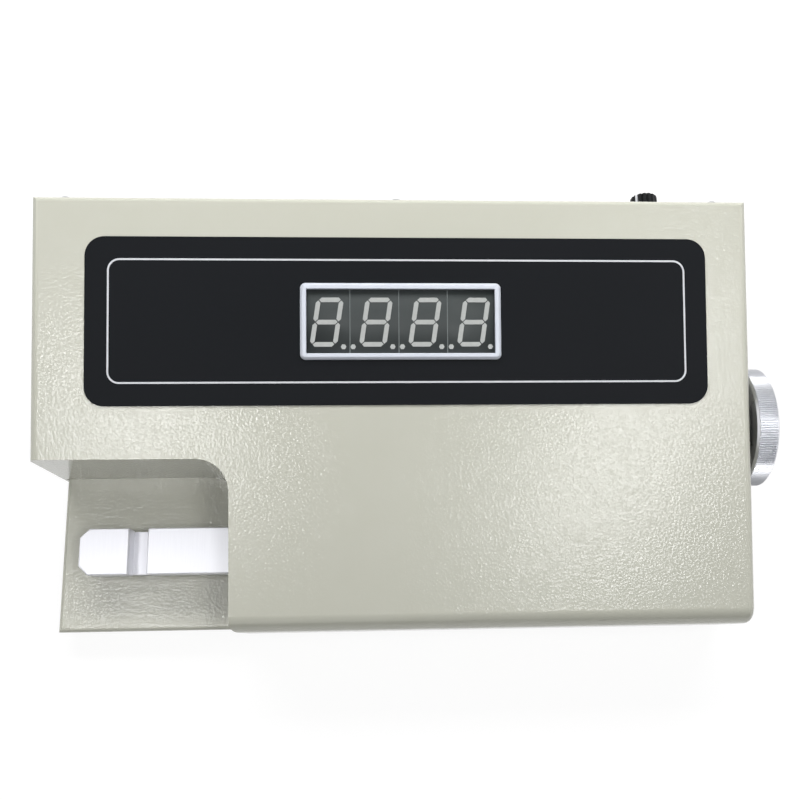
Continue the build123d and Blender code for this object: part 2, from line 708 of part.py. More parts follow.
def transformer_strap():
    """Folded strap over the core with an ear on each side."""
    y = (CORE_Y[0] + 2, CORE_Y[1] - 2)
    low, high = CORE_X
    strap = block((low - SHEET, high + SHEET), y, (FLOOR_TOP, CORE_TOP + SHEET))
    strap -= block((low, high), (0, 200), (0, CORE_TOP))
    strap += block((low - 12, low - SHEET), y, (FLOOR_TOP, FLOOR_UNDER + 2 * SHEET))
    strap += block((high + SHEET, high + 12), y, (FLOOR_TOP, FLOOR_UNDER + 2 * SHEET))
    return strap - holes(transformer_places(), 1.5, 20)


def transformer_screws():
    return group(place * Pos(0, 0, SHEET) * pan_screw(2 * SHEET) for place in transformer_places())


# ---- Rear panel fittings ----------------------------------------------------
INLET_FLANGE = 2.5
CAVITY_DEPTH = 16.0


def inlet_screw_places():
    return [Pos(INLET_X + side * 20, COVER_INSIDE + INLET_FLANGE, SOCKET_Z) * BACKWARD for side in (-1, 1)]


def power_inlet():
    """Three-pin appliance inlet: lug flange, deep cavity and body behind."""
    face = COVER_INSIDE + INLET_FLANGE
    flange = block(around(INLET_X, 25), (COVER_INSIDE, face), around(SOCKET_Z, 11.3))
    flange = chamfer(flange.edges().filter_by(Axis.Y), 7)
    behind = (COVER_INSIDE - 20, COVER_INSIDE)
    body = block(around(INLET_X, INLET_BODY[0]), behind, around(SOCKET_Z, INLET_BODY[1]))
    cavity = block(around(INLET_X, 12), (face - CAVITY_DEPTH, face + 1), around(SOCKET_Z, 8.2))
    cavity = chamfer(cavity.edges().filter_by(Axis.Y).sort_by(Axis.Z)[-2:], 4.5)
    shell = flange + body - cavity - holes(inlet_screw_places(), 1.5)
    return shell - inlet_blades()


def inlet_blades():
    blades = []
    for x, z in ((-7, -2), (0, 2), (7, -2)):
        length = (COVER_INSIDE - 28, COVER_INSIDE)
        blades.append(block(around(INLET_X + x, 1), length, around(SOCKET_Z + z, 2)))
    return group(blades)


def inlet_pins():
    return inlet_blades()


def inlet_screws():
    return group(place * pan_screw(8.0) for place in inlet_screw_places())


def fuse_holder():
    axis = Pos(FUSE_X, COVER_INSIDE, SOCKET_Z) * BACKWARD
    cap = chamfer(prism(6.8, BUSH_SIDES, 2.0, 8.0).faces().sort_by(Axis.Z)[-1].edges(), 0.8)
    cap -= Pos(0, 0, 8) * Box(9, 1.4, 2.4)
    return axis * (prism(8.2, BUSH_SIDES, 0, 2.0) + prism(6.0, BUSH_SIDES, -32, 0) + cap)


def switch_body():
    frame = block(around(SWITCH_X, 7.5), (COVER_INSIDE, COVER_INSIDE + 1.6), around(SOCKET_Z, 10.6))
    frame = chamfer(frame.edges().filter_by(Axis.Y), 1.0)
    behind = (COVER_INSIDE - 18, COVER_INSIDE)
    body = block(around(SWITCH_X, SWITCH_BODY[0]), behind, around(SOCKET_Z, SWITCH_BODY[1]))
    well = block(around(SWITCH_X, 5.5), (COVER_INSIDE - 9, COVER_INSIDE + 3), around(SOCKET_Z, 8.7))
    pivots = Pos(SWITCH_X, COVER_INSIDE, SOCKET_Z) * RIGHTWARD * rod(1.0 + RUNNING, -6.1, 6.1)
    return frame + body - well - pivots


ROCKER_TILT = 8.0


def switch_rocker():
    """Rocker at rest with its lower half pressed, on two moulded pivots."""
    side = outline(
        [(-3, -7.8), (2.8, -7.8), (1.2, 0), (2.8, 7.8), (-3, 7.8), (-6, 3), (-6, -3)],
        {2: 6.0},
    )
    paddle = Pos(-5.1, 0, 0) * extrude(Plane.YZ * side, 10.2)
    paddle += RIGHTWARD * rod(1.0, -5.95, 5.95)
    return Pos(SWITCH_X, COVER_INSIDE, SOCKET_Z) * Rot(ROCKER_TILT, 0, 0) * paddle


POT_SHAFT = 3.0
POT_BUSH = 3.5               # radius of the threaded bush
POT_BUSH_END = 4.5           # and its end, outside the panel
KNOB_GAP = 1.3
knob_axis = Pos(KNOB_X, COVER_INSIDE, KNOB_Z) * BACKWARD
KNOB_START = SHEET + KNOB_GAP
KNOB_END = SHEET + KNOB_REACH
FLUTES = 16


def zero_pot():
    body = prism(8.5, BUSH_SIDES, -SHEET - 10, -SHEET) + prism(POT_BUSH, BUSH_SIDES, -SHEET, POT_BUSH_END)
    tags = group(block((x - 1, x + 1), (6.0, 14.0), (-SHEET - 8, -SHEET - 7)) for x in (-4, 0, 4))
    return knob_axis * (body + tags - turning_bore(POT_SHAFT, -SHEET - 8, POT_BUSH_END + 1))


def pot_nut():
    return knob_axis * (prism(5.0, 6, 0, 1.6) - prism(POT_BUSH, BUSH_SIDES, -1, 3))


def pot_shaft():
    return knob_axis * rod(POT_SHAFT, -SHEET - 7.7, KNOB_END - 3)


def zero_knob():
    """Fluted knob on the shaft, hollow at the back to clear the threaded bush."""
    body = prism(KNOB_RADIUS, 2 * FLUTES, KNOB_START, KNOB_START + 2)
    points = []
    for number in range(2 * FLUTES):
        reach = KNOB_RADIUS - 0.1 - 0.6 * (number % 2)
        angle = pi * number / FLUTES
        points.append((reach * cos(angle), reach * sin(angle)))
    grip = Pos(0, 0, KNOB_START + 2) * extrude(Polygon(*points, align=None), KNOB_END - KNOB_START - 2)
    body += chamfer(grip.faces().sort_by(Axis.Z)[-1].edges(), 0.4)
    body -= prism(POT_BUSH + 0.7, BUSH_SIDES, KNOB_START - 1, POT_BUSH_END + 0.5)
    return knob_axis * (body - rod(POT_SHAFT, KNOB_START, KNOB_END - 3))


def cover_screws():
    return group(place * pan_screw(5.5) for place in lid_screw_places() + side_screw_places())


def panel_screws():
    return group(place * pan_screw(4.5) for place in panel_screw_places())


# ---- All pieces --------------------------------------------------------------
PIECE_MAKERS = [
    top_cover, base_tray, rear_panel, rubber_feet, cover_screws, panel_screws,
    overlay_panel, display_bezel, digit_modules, digit_segments, display_board, display_posts, display_screws,
    anvil, rest_plate, arm_spacers, anvil_screws, arm_screws,
    end_plates, end_plate_screws, screw_bearings, guide_rods, lead_screw, shaft_collars,
    handwheel, wheel_washer, wheel_screw,
    crosshead, guide_bushes, drive_nut, nut_screws, load_cell, pusher_stud, cell_bolt,
    pusher_bar, pusher_guide, guide_screws,
    main_board, board_parts, board_spacers, board_screws,
    transformer_core, transformer_winding, transformer_strap, transformer_screws,
    power_inlet, inlet_pins, inlet_screws, fuse_holder, switch_body, switch_rocker,
    zero_pot, pot_nut, pot_shaft, zero_knob,
]
overall_x = (-SCREW_HEAD[1], WHEEL_X[1])
overall_y = (0, CASE_DEPTH + KNOB_REACH)
to_origin = Pos(-sum(overall_x) / 2, -sum(overall_y) / 2, 0)

for maker in PIECE_MAKERS:
    export_step(to_origin * maker(), f"parts/{maker.__name__}.step")
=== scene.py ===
import json
import math

import bmesh
import bpy
from mathutils import Matrix, Vector

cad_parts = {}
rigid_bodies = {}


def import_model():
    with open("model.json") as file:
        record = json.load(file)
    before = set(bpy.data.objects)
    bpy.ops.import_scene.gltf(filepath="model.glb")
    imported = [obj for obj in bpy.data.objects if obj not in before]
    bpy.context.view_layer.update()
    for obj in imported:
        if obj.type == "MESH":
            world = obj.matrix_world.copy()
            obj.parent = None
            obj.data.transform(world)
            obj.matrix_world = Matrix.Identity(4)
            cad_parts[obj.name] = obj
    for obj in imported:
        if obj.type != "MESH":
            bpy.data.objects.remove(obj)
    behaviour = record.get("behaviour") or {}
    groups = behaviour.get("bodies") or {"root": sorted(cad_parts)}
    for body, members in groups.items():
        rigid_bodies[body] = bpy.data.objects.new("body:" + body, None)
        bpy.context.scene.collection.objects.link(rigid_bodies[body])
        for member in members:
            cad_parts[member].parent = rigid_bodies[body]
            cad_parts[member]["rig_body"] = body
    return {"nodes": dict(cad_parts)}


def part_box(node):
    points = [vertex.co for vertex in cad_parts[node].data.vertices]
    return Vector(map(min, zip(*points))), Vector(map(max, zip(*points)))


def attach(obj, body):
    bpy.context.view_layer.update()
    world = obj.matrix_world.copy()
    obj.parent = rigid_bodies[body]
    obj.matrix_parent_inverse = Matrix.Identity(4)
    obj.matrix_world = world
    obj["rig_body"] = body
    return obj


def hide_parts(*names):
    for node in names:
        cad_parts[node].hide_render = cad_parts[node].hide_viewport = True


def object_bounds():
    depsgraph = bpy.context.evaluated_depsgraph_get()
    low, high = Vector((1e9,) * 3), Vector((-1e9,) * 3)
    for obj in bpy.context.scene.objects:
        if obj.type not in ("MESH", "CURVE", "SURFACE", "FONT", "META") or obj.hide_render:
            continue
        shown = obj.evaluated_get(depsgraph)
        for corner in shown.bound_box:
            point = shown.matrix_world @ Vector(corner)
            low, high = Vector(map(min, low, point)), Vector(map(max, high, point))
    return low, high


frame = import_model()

cad_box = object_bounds()
scene = bpy.context.scene

# ---- Camera ------------------------------------------------------------------
# The tester was photographed from above, a little left of its middle and in
# front of it, so the sloping face is seen almost square on. Lens and shift give
# the photograph's frame, which is square.
photo_lens = bpy.data.cameras.new("photo_lens")
photo_lens.lens = 42.838
photo_lens.sensor_width = 36.0
photo_lens.shift_x = -0.0334
photo_lens.shift_y = 0.0364
photo_lens.clip_start = 0.01
camera = bpy.data.objects.new("photo_camera", photo_lens)
scene.collection.objects.link(camera)
camera_place = Vector((-0.01649, -0.09967, 0.44688))
camera_aim = Vector((0.00688, -0.01292, 0.0600))
backward = (camera_place - camera_aim).normalized()
rightward = Vector((0.0192, 1.0, 0.0)).cross(backward).normalized()
upward = backward.cross(rightward)
camera.matrix_world = Matrix.Translation(camera_place) @ Matrix(
    (rightward, upward, backward)
).transposed().to_4x4()
scene.camera = camera
scene.view_settings.view_transform = "Standard"

# ---- Table and studio light --------------------------------------------------
# A white laminate table under the tester, lit by two large softboxes above its
# left and right and by the pale room. The camera sees the table and the room as
# white, and the object's shadow stays on the table.


def linear(code):
    """An sRGB colour such as #D0D1C4 as the linear colour that a shader takes."""
    channels = [int(code[place:place + 2], 16) / 255 for place in (1, 3, 5)]
    values = [c / 12.92 if c <= 0.04045 else ((c + 0.055) / 1.055) ** 2.4 for c in channels]
    return (*values, 1.0)


def add_node(tree, kind, settings, inputs):
    """One node; settings are its own properties, inputs hold values or other nodes' outputs."""
    made = tree.nodes.new(kind)
    for name, value in settings.items():
        setattr(made, name, value)
    for name, value in inputs.items():
        if isinstance(value, bpy.types.NodeSocket):
            tree.links.new(value, made.inputs[name])
        else:
            made.inputs[name].default_value = value
    return made


def start_finish(name):
    """An empty material with its tree and the object's own coordinates, in metres."""
    finish = bpy.data.materials.new(name)
    finish.use_nodes = True
    tree = finish.node_tree
    tree.nodes.clear()
    place = add_node(tree, "ShaderNodeTexCoord", {}, {}).outputs["Object"]
    return finish, tree, place


def end_finish(tree, shader):
    """The shader as the material's surface."""
    add_node(tree, "ShaderNodeOutputMaterial", {}, {"Surface": shader.outputs[0]})


MM = 0.001
TABLE_SIZE = 6.0
SHADOW_SHARE = 0.18          # how much of the table's own shading the camera sees
TABLE_WHITE = 1.08           # brings the shaded laminate up to white away from the shadow


def seen_rays(tree):
    """1 for rays that see a surface, directly or in gloss or glass, and 0 for rays that light the object."""
    rays = add_node(tree, "ShaderNodeLightPath", {}, {})
    direct = add_node(tree, "ShaderNodeMath", {"operation": "MAXIMUM"},
                      {0: rays.outputs["Is Camera Ray"], 1: rays.outputs["Is Glossy Ray"]})
    return add_node(tree, "ShaderNodeMath", {"operation": "MAXIMUM"},
                    {0: direct.outputs[0], 1: rays.outputs["Is Transmission Ray"]})


# White laminate: flat white with the object's soft shadow on it. It is clear from
# below, so that the feet can be seen.
table_top, tree, place = start_finish("white_laminate_table")
share = add_node(tree, "ShaderNodeMath", {"operation": "MULTIPLY"},
                 {0: seen_rays(tree).outputs[0], 1: 1 - SHADOW_SHARE})
lit = add_node(tree, "ShaderNodeBsdfDiffuse", {}, {"Color": linear("#FBFBFB")})
white = add_node(tree, "ShaderNodeEmission", {}, {"Color": linear("#FFFFFF"), "Strength": TABLE_WHITE})
laminate = add_node(tree, "ShaderNodeMixShader", {},
                    {0: share.outputs[0], 1: lit.outputs[0], 2: white.outputs[0]})
underside = add_node(tree, "ShaderNodeNewGeometry", {}, {}).outputs["Backfacing"]
clear = add_node(tree, "ShaderNodeBsdfTransparent", {}, {})
end_finish(tree, add_node(tree, "ShaderNodeMixShader", {},
                          {0: underside, 1: laminate.outputs[0], 2: clear.outputs[0]}))

table_mesh = bpy.data.meshes.new("table")
half = TABLE_SIZE / 2
table_corners = [(-half, -half, 0), (half, -half, 0), (half, half, 0), (-half, half, 0)]
table_mesh.from_pydata(table_corners, [], [(0, 1, 2, 3)])
table_mesh.materials.append(table_top)
table = bpy.data.objects.new("table", table_mesh)
scene.collection.objects.link(table)

# The room is white up to head height and darker on the ceiling and on the side
# where the camera stood, which bare metal shows.
room = bpy.data.worlds.new("pale_room")
scene.world = room
room.use_nodes = True
tree = room.node_tree
tree.nodes.clear()
view = add_node(tree, "ShaderNodeTexCoord", {}, {}).outputs["Generated"]
height = add_node(tree, "ShaderNodeSeparateXYZ", {}, {0: view}).outputs["Z"]
overhead = add_node(tree, "ShaderNodeMapRange", {}, {"Value": height, "From Min": 0.35, "From Max": 0.85})
walls = add_node(tree, "ShaderNodeMix", {"data_type": "RGBA"},
                 {0: overhead.outputs[0], 6: linear("#FFFFFF"), 7: linear("#B4B6BC")})
mirrored = add_node(tree, "ShaderNodeLightPath", {}, {}).outputs["Is Glossy Ray"]
depth = add_node(tree, "ShaderNodeSeparateXYZ", {}, {0: view}).outputs["Y"]
nearby = add_node(tree, "ShaderNodeMapRange", {}, {"Value": depth, "From Min": -0.2, "From Max": -0.7})
nearby = add_node(tree, "ShaderNodeMath", {"operation": "MULTIPLY"}, {0: nearby.outputs[0], 1: mirrored})
walls = add_node(tree, "ShaderNodeMix", {"data_type": "RGBA"},
                 {0: nearby.outputs[0], 6: walls.outputs[2], 7: linear("#5E6064")})
dim = add_node(tree, "ShaderNodeBackground", {}, {"Color": linear("#F4F5F8"), "Strength": 0.12})
bright = add_node(tree, "ShaderNodeBackground", {}, {"Color": walls.outputs[2], "Strength": 1.0})
sky = add_node(tree, "ShaderNodeMixShader", {},
               {0: seen_rays(tree).outputs[0], 1: dim.outputs[0], 2: bright.outputs[0]})
add_node(tree, "ShaderNodeOutputWorld", {}, {"Surface": sky.outputs[0]})


def softbox(name, place, aim, size, power):
    """A rectangular lamp at a place, turned to its aim; sizes in metres and power in watts."""
    lamp = bpy.data.lights.new(name, "AREA")
    lamp.shape = "RECTANGLE"
    lamp.size, lamp.size_y = size
    lamp.energy = power
    holder = bpy.data.objects.new(name, lamp)
    holder.location = place
    holder.rotation_euler = (Vector(aim) - Vector(place)).to_track_quat("-Z", "Y").to_euler()
    scene.collection.objects.link(holder)
    return holder


softbox("softbox_left", (-0.39, -0.16, 1.20), (-0.10, -0.03, 0.05), (0.32, 0.20), 2.35)
softbox("softbox_right", (0.40, -0.18, 1.20), (0.10, -0.03, 0.05), (0.54, 0.18), 3.3)
softbox("softbox_rear", (0.0, 0.42, 0.48), (0.0, 0.04, 0.05), (1.0, 0.25), 4.6).visible_glossy = False
softbox("softbox_front", (-0.25, -0.80, 0.60), (-0.08, -0.05, 0.03), (0.6, 0.3), 0.35)
softbox("window_right", (0.95, 0.05, 0.70), (0.0, 0.0, 0.05), (0.5, 0.7), 0.45)

# ---- Folded case -------------------------------------------------------------
# Cover and base are 1.2 mm cold-rolled steel sheet, laser cut and folded on a
# press brake, with their corners welded and ground. They and the rear panel are
# powder coated in a warm pale grey.


def applied(made, name):
    """The object's evaluated shape as a plain mesh object of that name."""
    bpy.context.view_layer.update()
    source = made.evaluated_get(bpy.context.evaluated_depsgraph_get())
    mesh = bpy.data.meshes.new_from_object(source)
    mesh.name = name
    bpy.data.objects.remove(made)
    piece = bpy.data.objects.new(name, mesh)
    scene.collection.objects.link(piece)
    return piece


MERGE_WITHIN = 0.002 * MM
FLAT_WITHIN = math.radians(0.4)


def rounded_copy(node, edge, sharp, segments):
    """A CAD node's shape with its doubles merged, its flats joined and its sharp edges rounded."""
    mesh = frame["nodes"][node].data.copy()
    form = bmesh.new()
    form.from_mesh(mesh)
    bmesh.ops.remove_doubles(form, verts=form.verts, dist=MERGE_WITHIN)
    bmesh.ops.dissolve_limit(form, angle_limit=FLAT_WITHIN, verts=form.verts, edges=form.edges)
    form.to_mesh(mesh)
    form.free()
    mesh.shade_smooth()
    made = bpy.data.objects.new(node + "_rounding", mesh)
    scene.collection.objects.link(made)
    if edge:
        bevel = made.modifiers.new("edge_rounding", "BEVEL")
        bevel.width = edge
        bevel.segments = segments
        bevel.limit_method = "ANGLE"
        bevel.angle_limit = math.radians(sharp)
        bevel.use_clamp_overlap = True
        bevel.harden_normals = False
    weighted = made.modifiers.new("flat_faces_stay_flat", "WEIGHTED_NORMAL")
    weighted.keep_sharp = True
    if not edge:
        mesh.set_sharp_from_angle(angle=math.radians(sharp))
    return applied(made, node + "_finished")


def dress(node, finish, edge=0.0, sharp=35.0, segments=2):
    """A rounded copy stands for the CAD node, in the given finish."""
    piece = rounded_copy(node, edge, sharp, segments)
    piece.data.materials.clear()
    piece.data.materials.append(finish)
    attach(piece, frame["nodes"][node]["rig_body"])
    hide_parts(node)
    return piece


def paint(node, finish):
    """The CAD node's own shape is right and only takes the finish."""
    mesh = frame["nodes"][node].data
    if not mesh.materials:
        mesh.materials.append(finish)
    for index in range(len(mesh.materials)):
        mesh.materials[index] = finish


# Powder coat: polyester powder cured on steel. It flows into an orange-peel skin
# about 1 mm across that breaks every highlight into small glints.
powder_coat, tree, place = start_finish("orange_peel_powder_coat")
PEEL = 1.0 * MM
peel = add_node(tree, "ShaderNodeTexNoise", {},
                {"Vector": place, "Scale": 1 / PEEL, "Detail": 1.0, "Roughness": 0.5})
swell = add_node(tree, "ShaderNodeTexNoise", {}, {"Vector": place, "Scale": 1 / (14 * MM), "Detail": 1.0})
shade = add_node(tree, "ShaderNodeMix", {"data_type": "RGBA"},
                 {0: swell.outputs[0], 6: linear("#C4C4B6"), 7: linear("#C7C7BA")})
relief = add_node(tree, "ShaderNodeBump", {},
                  {"Height": peel.outputs[0], "Strength": 1.0, "Distance": 0.145 * MM})
satin = add_node(tree, "ShaderNodeMapRange", {}, {"Value": swell.outputs[0], "To Min": 0.5, "To Max": 0.6})
coat = add_node(tree, "ShaderNodeBsdfPrincipled", {},
                {"Base Color": shade.outputs[2], "Roughness": satin.outputs[0], "Specular IOR Level": 0.1,
                 "Coat Weight": 1.0, "Coat Roughness": 0.12, "Coat IOR": 1.5,
                 "Coat Normal": relief.outputs[0]})
end_finish(tree, coat)

dress("top_cover", powder_coat, 0.4 * MM)
dress("base_tray", powder_coat, 0.3 * MM)
dress("rear_panel", powder_coat, 0.3 * MM)

# ---- Black front panel ---------------------------------------------------------
# A printed polyester film on a thin aluminium plate, stuck on the sloping face.
# A thin white line with rounded corners is printed all round it.

# Polyester film: near black, with a fine matt grain that spreads each reflection
# into a faint haze.
panel_film, tree, place = start_finish("printed_polyester_film")
grain = add_node(tree, "ShaderNodeTexNoise", {}, {"Vector": place, "Scale": 1 / (0.5 * MM), "Detail": 3.0})
haze = add_node(tree, "ShaderNodeTexNoise", {}, {"Vector": place, "Scale": 1 / (60 * MM), "Detail": 2.0})
ink = add_node(tree, "ShaderNodeMix", {"data_type": "RGBA"},
               {0: haze.outputs[0], 6: linear("#16181B"), 7: linear("#1A1C1F")})
matt = add_node(tree, "ShaderNodeMapRange", {}, {"Value": grain.outputs[0], "To Min": 0.44, "To Max": 0.56})
relief = add_node(tree, "ShaderNodeBump", {},
                  {"Height": grain.outputs[0], "Strength": 0.15, "Distance": 0.02 * MM})
film = add_node(tree, "ShaderNodeBsdfPrincipled", {},
                {"Base Color": ink.outputs[2], "Roughness": matt.outputs[0], "Normal": relief.outputs[0],
                 "IOR": 1.5, "Specular IOR Level": 0.08})
end_finish(tree, film)
FILM_THICK = 0.6 * MM
SLOPE = math.radians(10)
panel_low, panel_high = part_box("overlay_panel")
face_corner = Vector((panel_low.x, panel_low.y + FILM_THICK * math.sin(SLOPE), panel_low.z))
face_up = Vector((0, math.cos(SLOPE), math.sin(SLOPE)))
face_out = Vector((0, -math.sin(SLOPE), math.cos(SLOPE)))
panel_wide = panel_high.x - panel_low.x
panel_long = (panel_high.y - panel_low.y - FILM_THICK * math.sin(SLOPE)) / math.cos(SLOPE)


def on_face(across, up, out):
    """A point of the sloping face, measured from the panel's lower left corner on its back."""
    return face_corner + Vector((across, 0, 0)) + up * face_up + out * face_out


def rounded_loop(low, high, radius, steps):
    """Corner-rounded rectangle between two corners, anticlockwise."""
    corners = [(high[0], high[1], 0), (low[0], high[1], 90), (low[0], low[1], 180), (high[0], low[1], 270)]
    points = []
    for x, y, start in corners:
        centre_x = x - radius if x == high[0] else x + radius
        centre_y = y - radius if y == high[1] else y + radius
        for step in range(steps + 1):
            angle = math.radians(start + 90 * step / steps)
            points.append((centre_x + radius * math.cos(angle), centre_y + radius * math.sin(angle)))
    return points


def outward_mesh(form, name):
    """A bmesh as a mesh of that name, with its faces pointing outwards."""
    bmesh.ops.recalc_face_normals(form, faces=form.faces)
    mesh = bpy.data.meshes.new(name)
    form.to_mesh(mesh)
    form.free()
    return mesh


def finished(name, form, finish, body):
    """A bmesh as a piece with its finish, riding on a body."""
    bmesh.ops.remove_doubles(form, verts=form.verts, dist=0.001 * MM)
    mesh = outward_mesh(form, name)
    mesh.materials.append(finish)
    piece = bpy.data.objects.new(name, mesh)
    scene.collection.objects.link(piece)
    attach(piece, body)
    return piece


dress("overlay_panel", panel_film, 0.12 * MM)

STRIPE_INSET = 9.15 * MM
STRIPE_WIDE = 0.75 * MM
STRIPE_ROUND = 5.0 * MM
STRIPE_PROUD = 0.03 * MM
STRIPE_STEPS = 10

# Screen-printed ink: dull white, slightly uneven from the screen's mesh.
stripe_ink, tree, place = start_finish("screen_printed_white_ink")
grain = add_node(tree, "ShaderNodeTexNoise", {}, {"Vector": place, "Scale": 1 / (0.6 * MM), "Detail": 2.0})
ink = add_node(tree, "ShaderNodeMix", {"data_type": "RGBA"},
               {0: grain.outputs[0], 6: linear("#C4C6CA"), 7: linear("#DEE0E4")})
end_finish(tree, add_node(tree, "ShaderNodeBsdfPrincipled", {},
                          {"Base Color": ink.outputs[2], "Roughness": 0.5}))

form = bmesh.new()
rings = []
section = ((0, -STRIPE_PROUD), (0, STRIPE_PROUD), (STRIPE_WIDE, STRIPE_PROUD), (STRIPE_WIDE, -STRIPE_PROUD))
for inset, out in section:
    away = STRIPE_INSET + inset
    loop = rounded_loop((away, away), (panel_wide - away, panel_long - away), STRIPE_ROUND - inset,
                        STRIPE_STEPS)
    rings.append([form.verts.new(on_face(x, y, FILM_THICK + out)) for x, y in loop])
for index, ring in enumerate(rings):
    following = rings[(index + 1) % len(rings)]
    for corner in range(len(ring)):
        after = (corner + 1) % len(ring)
        form.faces.new((ring[corner], ring[after], following[after], following[corner]))
finished("panel_stripe", form, stripe_ink, "case")

# ---- Digit display --------------------------------------------------------------
# Four seven-segment light-emitting modules: grey filled epoxy faces with clear
# diffusing segments, unlit. A moulded pale frame snaps into the face over them.

# Filled epoxy: dark grey and satin, with a fine cast grain and faint clouds.
module_epoxy, tree, place = start_finish("filled_grey_epoxy")
grain = add_node(tree, "ShaderNodeTexNoise", {}, {"Vector": place, "Scale": 1 / (0.8 * MM), "Detail": 3.0})
cloud = add_node(tree, "ShaderNodeTexNoise", {}, {"Vector": place, "Scale": 1 / (9 * MM), "Detail": 2.0})
grey = add_node(tree, "ShaderNodeMix", {"data_type": "RGBA"},
                {0: cloud.outputs[0], 6: linear("#3B4040"), 7: linear("#424645")})
relief = add_node(tree, "ShaderNodeBump", {},
                  {"Height": grain.outputs[0], "Strength": 0.2, "Distance": 0.02 * MM})
end_finish(tree, add_node(tree, "ShaderNodeBsdfPrincipled", {},
                          {"Base Color": grey.outputs[2], "Roughness": 0.45, "Normal": relief.outputs[0],
                           "Specular IOR Level": 0.35}))

MODULE_GROWTH = 3.3 * MM
DIGIT_LEFT = 0.5 * MM
DIGIT_UP = 0.55 * MM
DIGIT_GROWTH = 1.01
FRAME_LIP = 2.65 * MM
frame_low, frame_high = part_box("display_bezel")
frame_ups = [(vertex.co - face_corner).dot(face_up)
             for vertex in frame["nodes"]["display_bezel"].data.vertices]
window_low = (frame_low.x + FRAME_LIP - face_corner.x, min(frame_ups) + FRAME_LIP)
window_high = (frame_high.x - FRAME_LIP - face_corner.x, max(frame_ups) - FRAME_LIP)


def grown_forwards(piece, left, higher, growth):
    """The piece's front brought into the frame's window, between its lips, while its back stays."""
    form = bmesh.new()
    form.from_mesh(piece.data)
    middle = (window_low[1] + window_high[1]) / 2
    outs = [(vertex.co - face_corner).dot(face_out) for vertex in form.verts]
    waist = (min(outs) + max(outs)) / 2
    for vertex in form.verts:
        offset = vertex.co - face_corner
        across = min(max(offset.x - left, window_low[0]), window_high[0])
        up = middle + (offset.dot(face_up) - middle) * growth + higher
        up = min(max(up, window_low[1]), window_high[1])
        out = offset.dot(face_out)
        vertex.co = on_face(across, up, out + MODULE_GROWTH if out > waist else out)
    bmesh.ops.dissolve_degenerate(form, dist=MERGE_WITHIN, edges=form.edges)
    form.to_mesh(piece.data)
    form.free()


grown_forwards(dress("digit_modules", module_epoxy, 0.2 * MM), 0.0, 0.0, 1.0)

# The shells are moulded in a paler grey than their printed faces, and their
# edges show between the modules.
shell_grey, tree, place = start_finish("moulded_shell_edges")
grain = add_node(tree, "ShaderNodeTexNoise", {}, {"Vector": place, "Scale": 1 / (1.2 * MM), "Detail": 2.0})
edge_grey = add_node(tree, "ShaderNodeMix", {"data_type": "RGBA"},
                     {0: grain.outputs[0], 6: linear("#5C6262"), 7: linear("#6C7271")})
end_finish(tree, add_node(tree, "ShaderNodeBsdfPrincipled", {},
                          {"Base Color": edge_grey.outputs[2], "Roughness": 0.5}))

MODULE_COUNT = 4
SEAM_WIDE = 0.42 * MM
SEAM_DEEP = 1.0 * MM
SEAM_BELOW = 0.02 * MM
modules_low, modules_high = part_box("digit_modules")
module_face = max((vertex.co - face_corner).dot(face_out)
                  for vertex in frame["nodes"]["digit_modules"].data.vertices) + MODULE_GROWTH
module_step = (modules_high.x - modules_low.x) / MODULE_COUNT
form = bmesh.new()
seam_corners = ((-1, window_low[1]), (1, window_low[1]), (1, window_high[1]), (-1, window_high[1]))
for seam in range(1, MODULE_COUNT):
    middle = modules_low.x + seam * module_step - face_corner.x
    corners = [form.verts.new(on_face(middle + side * SEAM_WIDE / 2, up, module_face - down))
               for down in (SEAM_BELOW, SEAM_DEEP) for side, up in seam_corners]
    for face in ((0, 1, 2, 3), (7, 6, 5, 4), (0, 4, 5, 1), (1, 5, 6, 2), (2, 6, 7, 3), (3, 7, 4, 0)):
        form.faces.new([corners[index] for index in face])
finished("module_shell_edges", form, shell_grey, "case")

# Diffusing epoxy: milky and pale, slightly cloudy where it was poured.
segment_epoxy, tree, place = start_finish("diffusing_epoxy_segments")
milk = add_node(tree, "ShaderNodeTexNoise", {}, {"Vector": place, "Scale": 1 / (1.5 * MM), "Detail": 2.0})
pale = add_node(tree, "ShaderNodeMix", {"data_type": "RGBA"},
                {0: milk.outputs[0], 6: linear("#A9ACAA"), 7: linear("#B9BBB8")})
end_finish(tree, add_node(tree, "ShaderNodeBsdfPrincipled", {},
                          {"Base Color": pale.outputs[2], "Roughness": 0.4, "Specular IOR Level": 0.35}))
grown_forwards(dress("digit_segments", segment_epoxy), DIGIT_LEFT, DIGIT_UP, DIGIT_GROWTH)

# Moulded ABS: a cool pale grey with a soft sheen and a faint moulded skin.
bezel_plastic, tree, place = start_finish("moulded_pale_abs")
skin = add_node(tree, "ShaderNodeTexNoise", {}, {"Vector": place, "Scale": 1 / (2.5 * MM), "Detail": 2.0})
tone = add_node(tree, "ShaderNodeMix", {"data_type": "RGBA"},
                {0: skin.outputs[0], 6: linear("#D2D7E2"), 7: linear("#DADEE7")})
relief = add_node(tree, "ShaderNodeBump", {},
                  {"Height": skin.outputs[0], "Strength": 0.1, "Distance": 0.03 * MM})
end_finish(tree, add_node(tree, "ShaderNodeBsdfPrincipled", {},
                          {"Base Color": tone.outputs[2], "Roughness": 0.32, "Normal": relief.outputs[0]}))
dress("display_bezel", bezel_plastic, 0.25 * MM, sharp=20.0, segments=3)

# ---- Anvil, rest plate and pusher ------------------------------------------------
# Bars of aluminium, fine milled and then bead-blasted so lightly that the cutter
# marks still run across them. Their edges are broken with a file.
MILL_MARK = 0.5 * MM

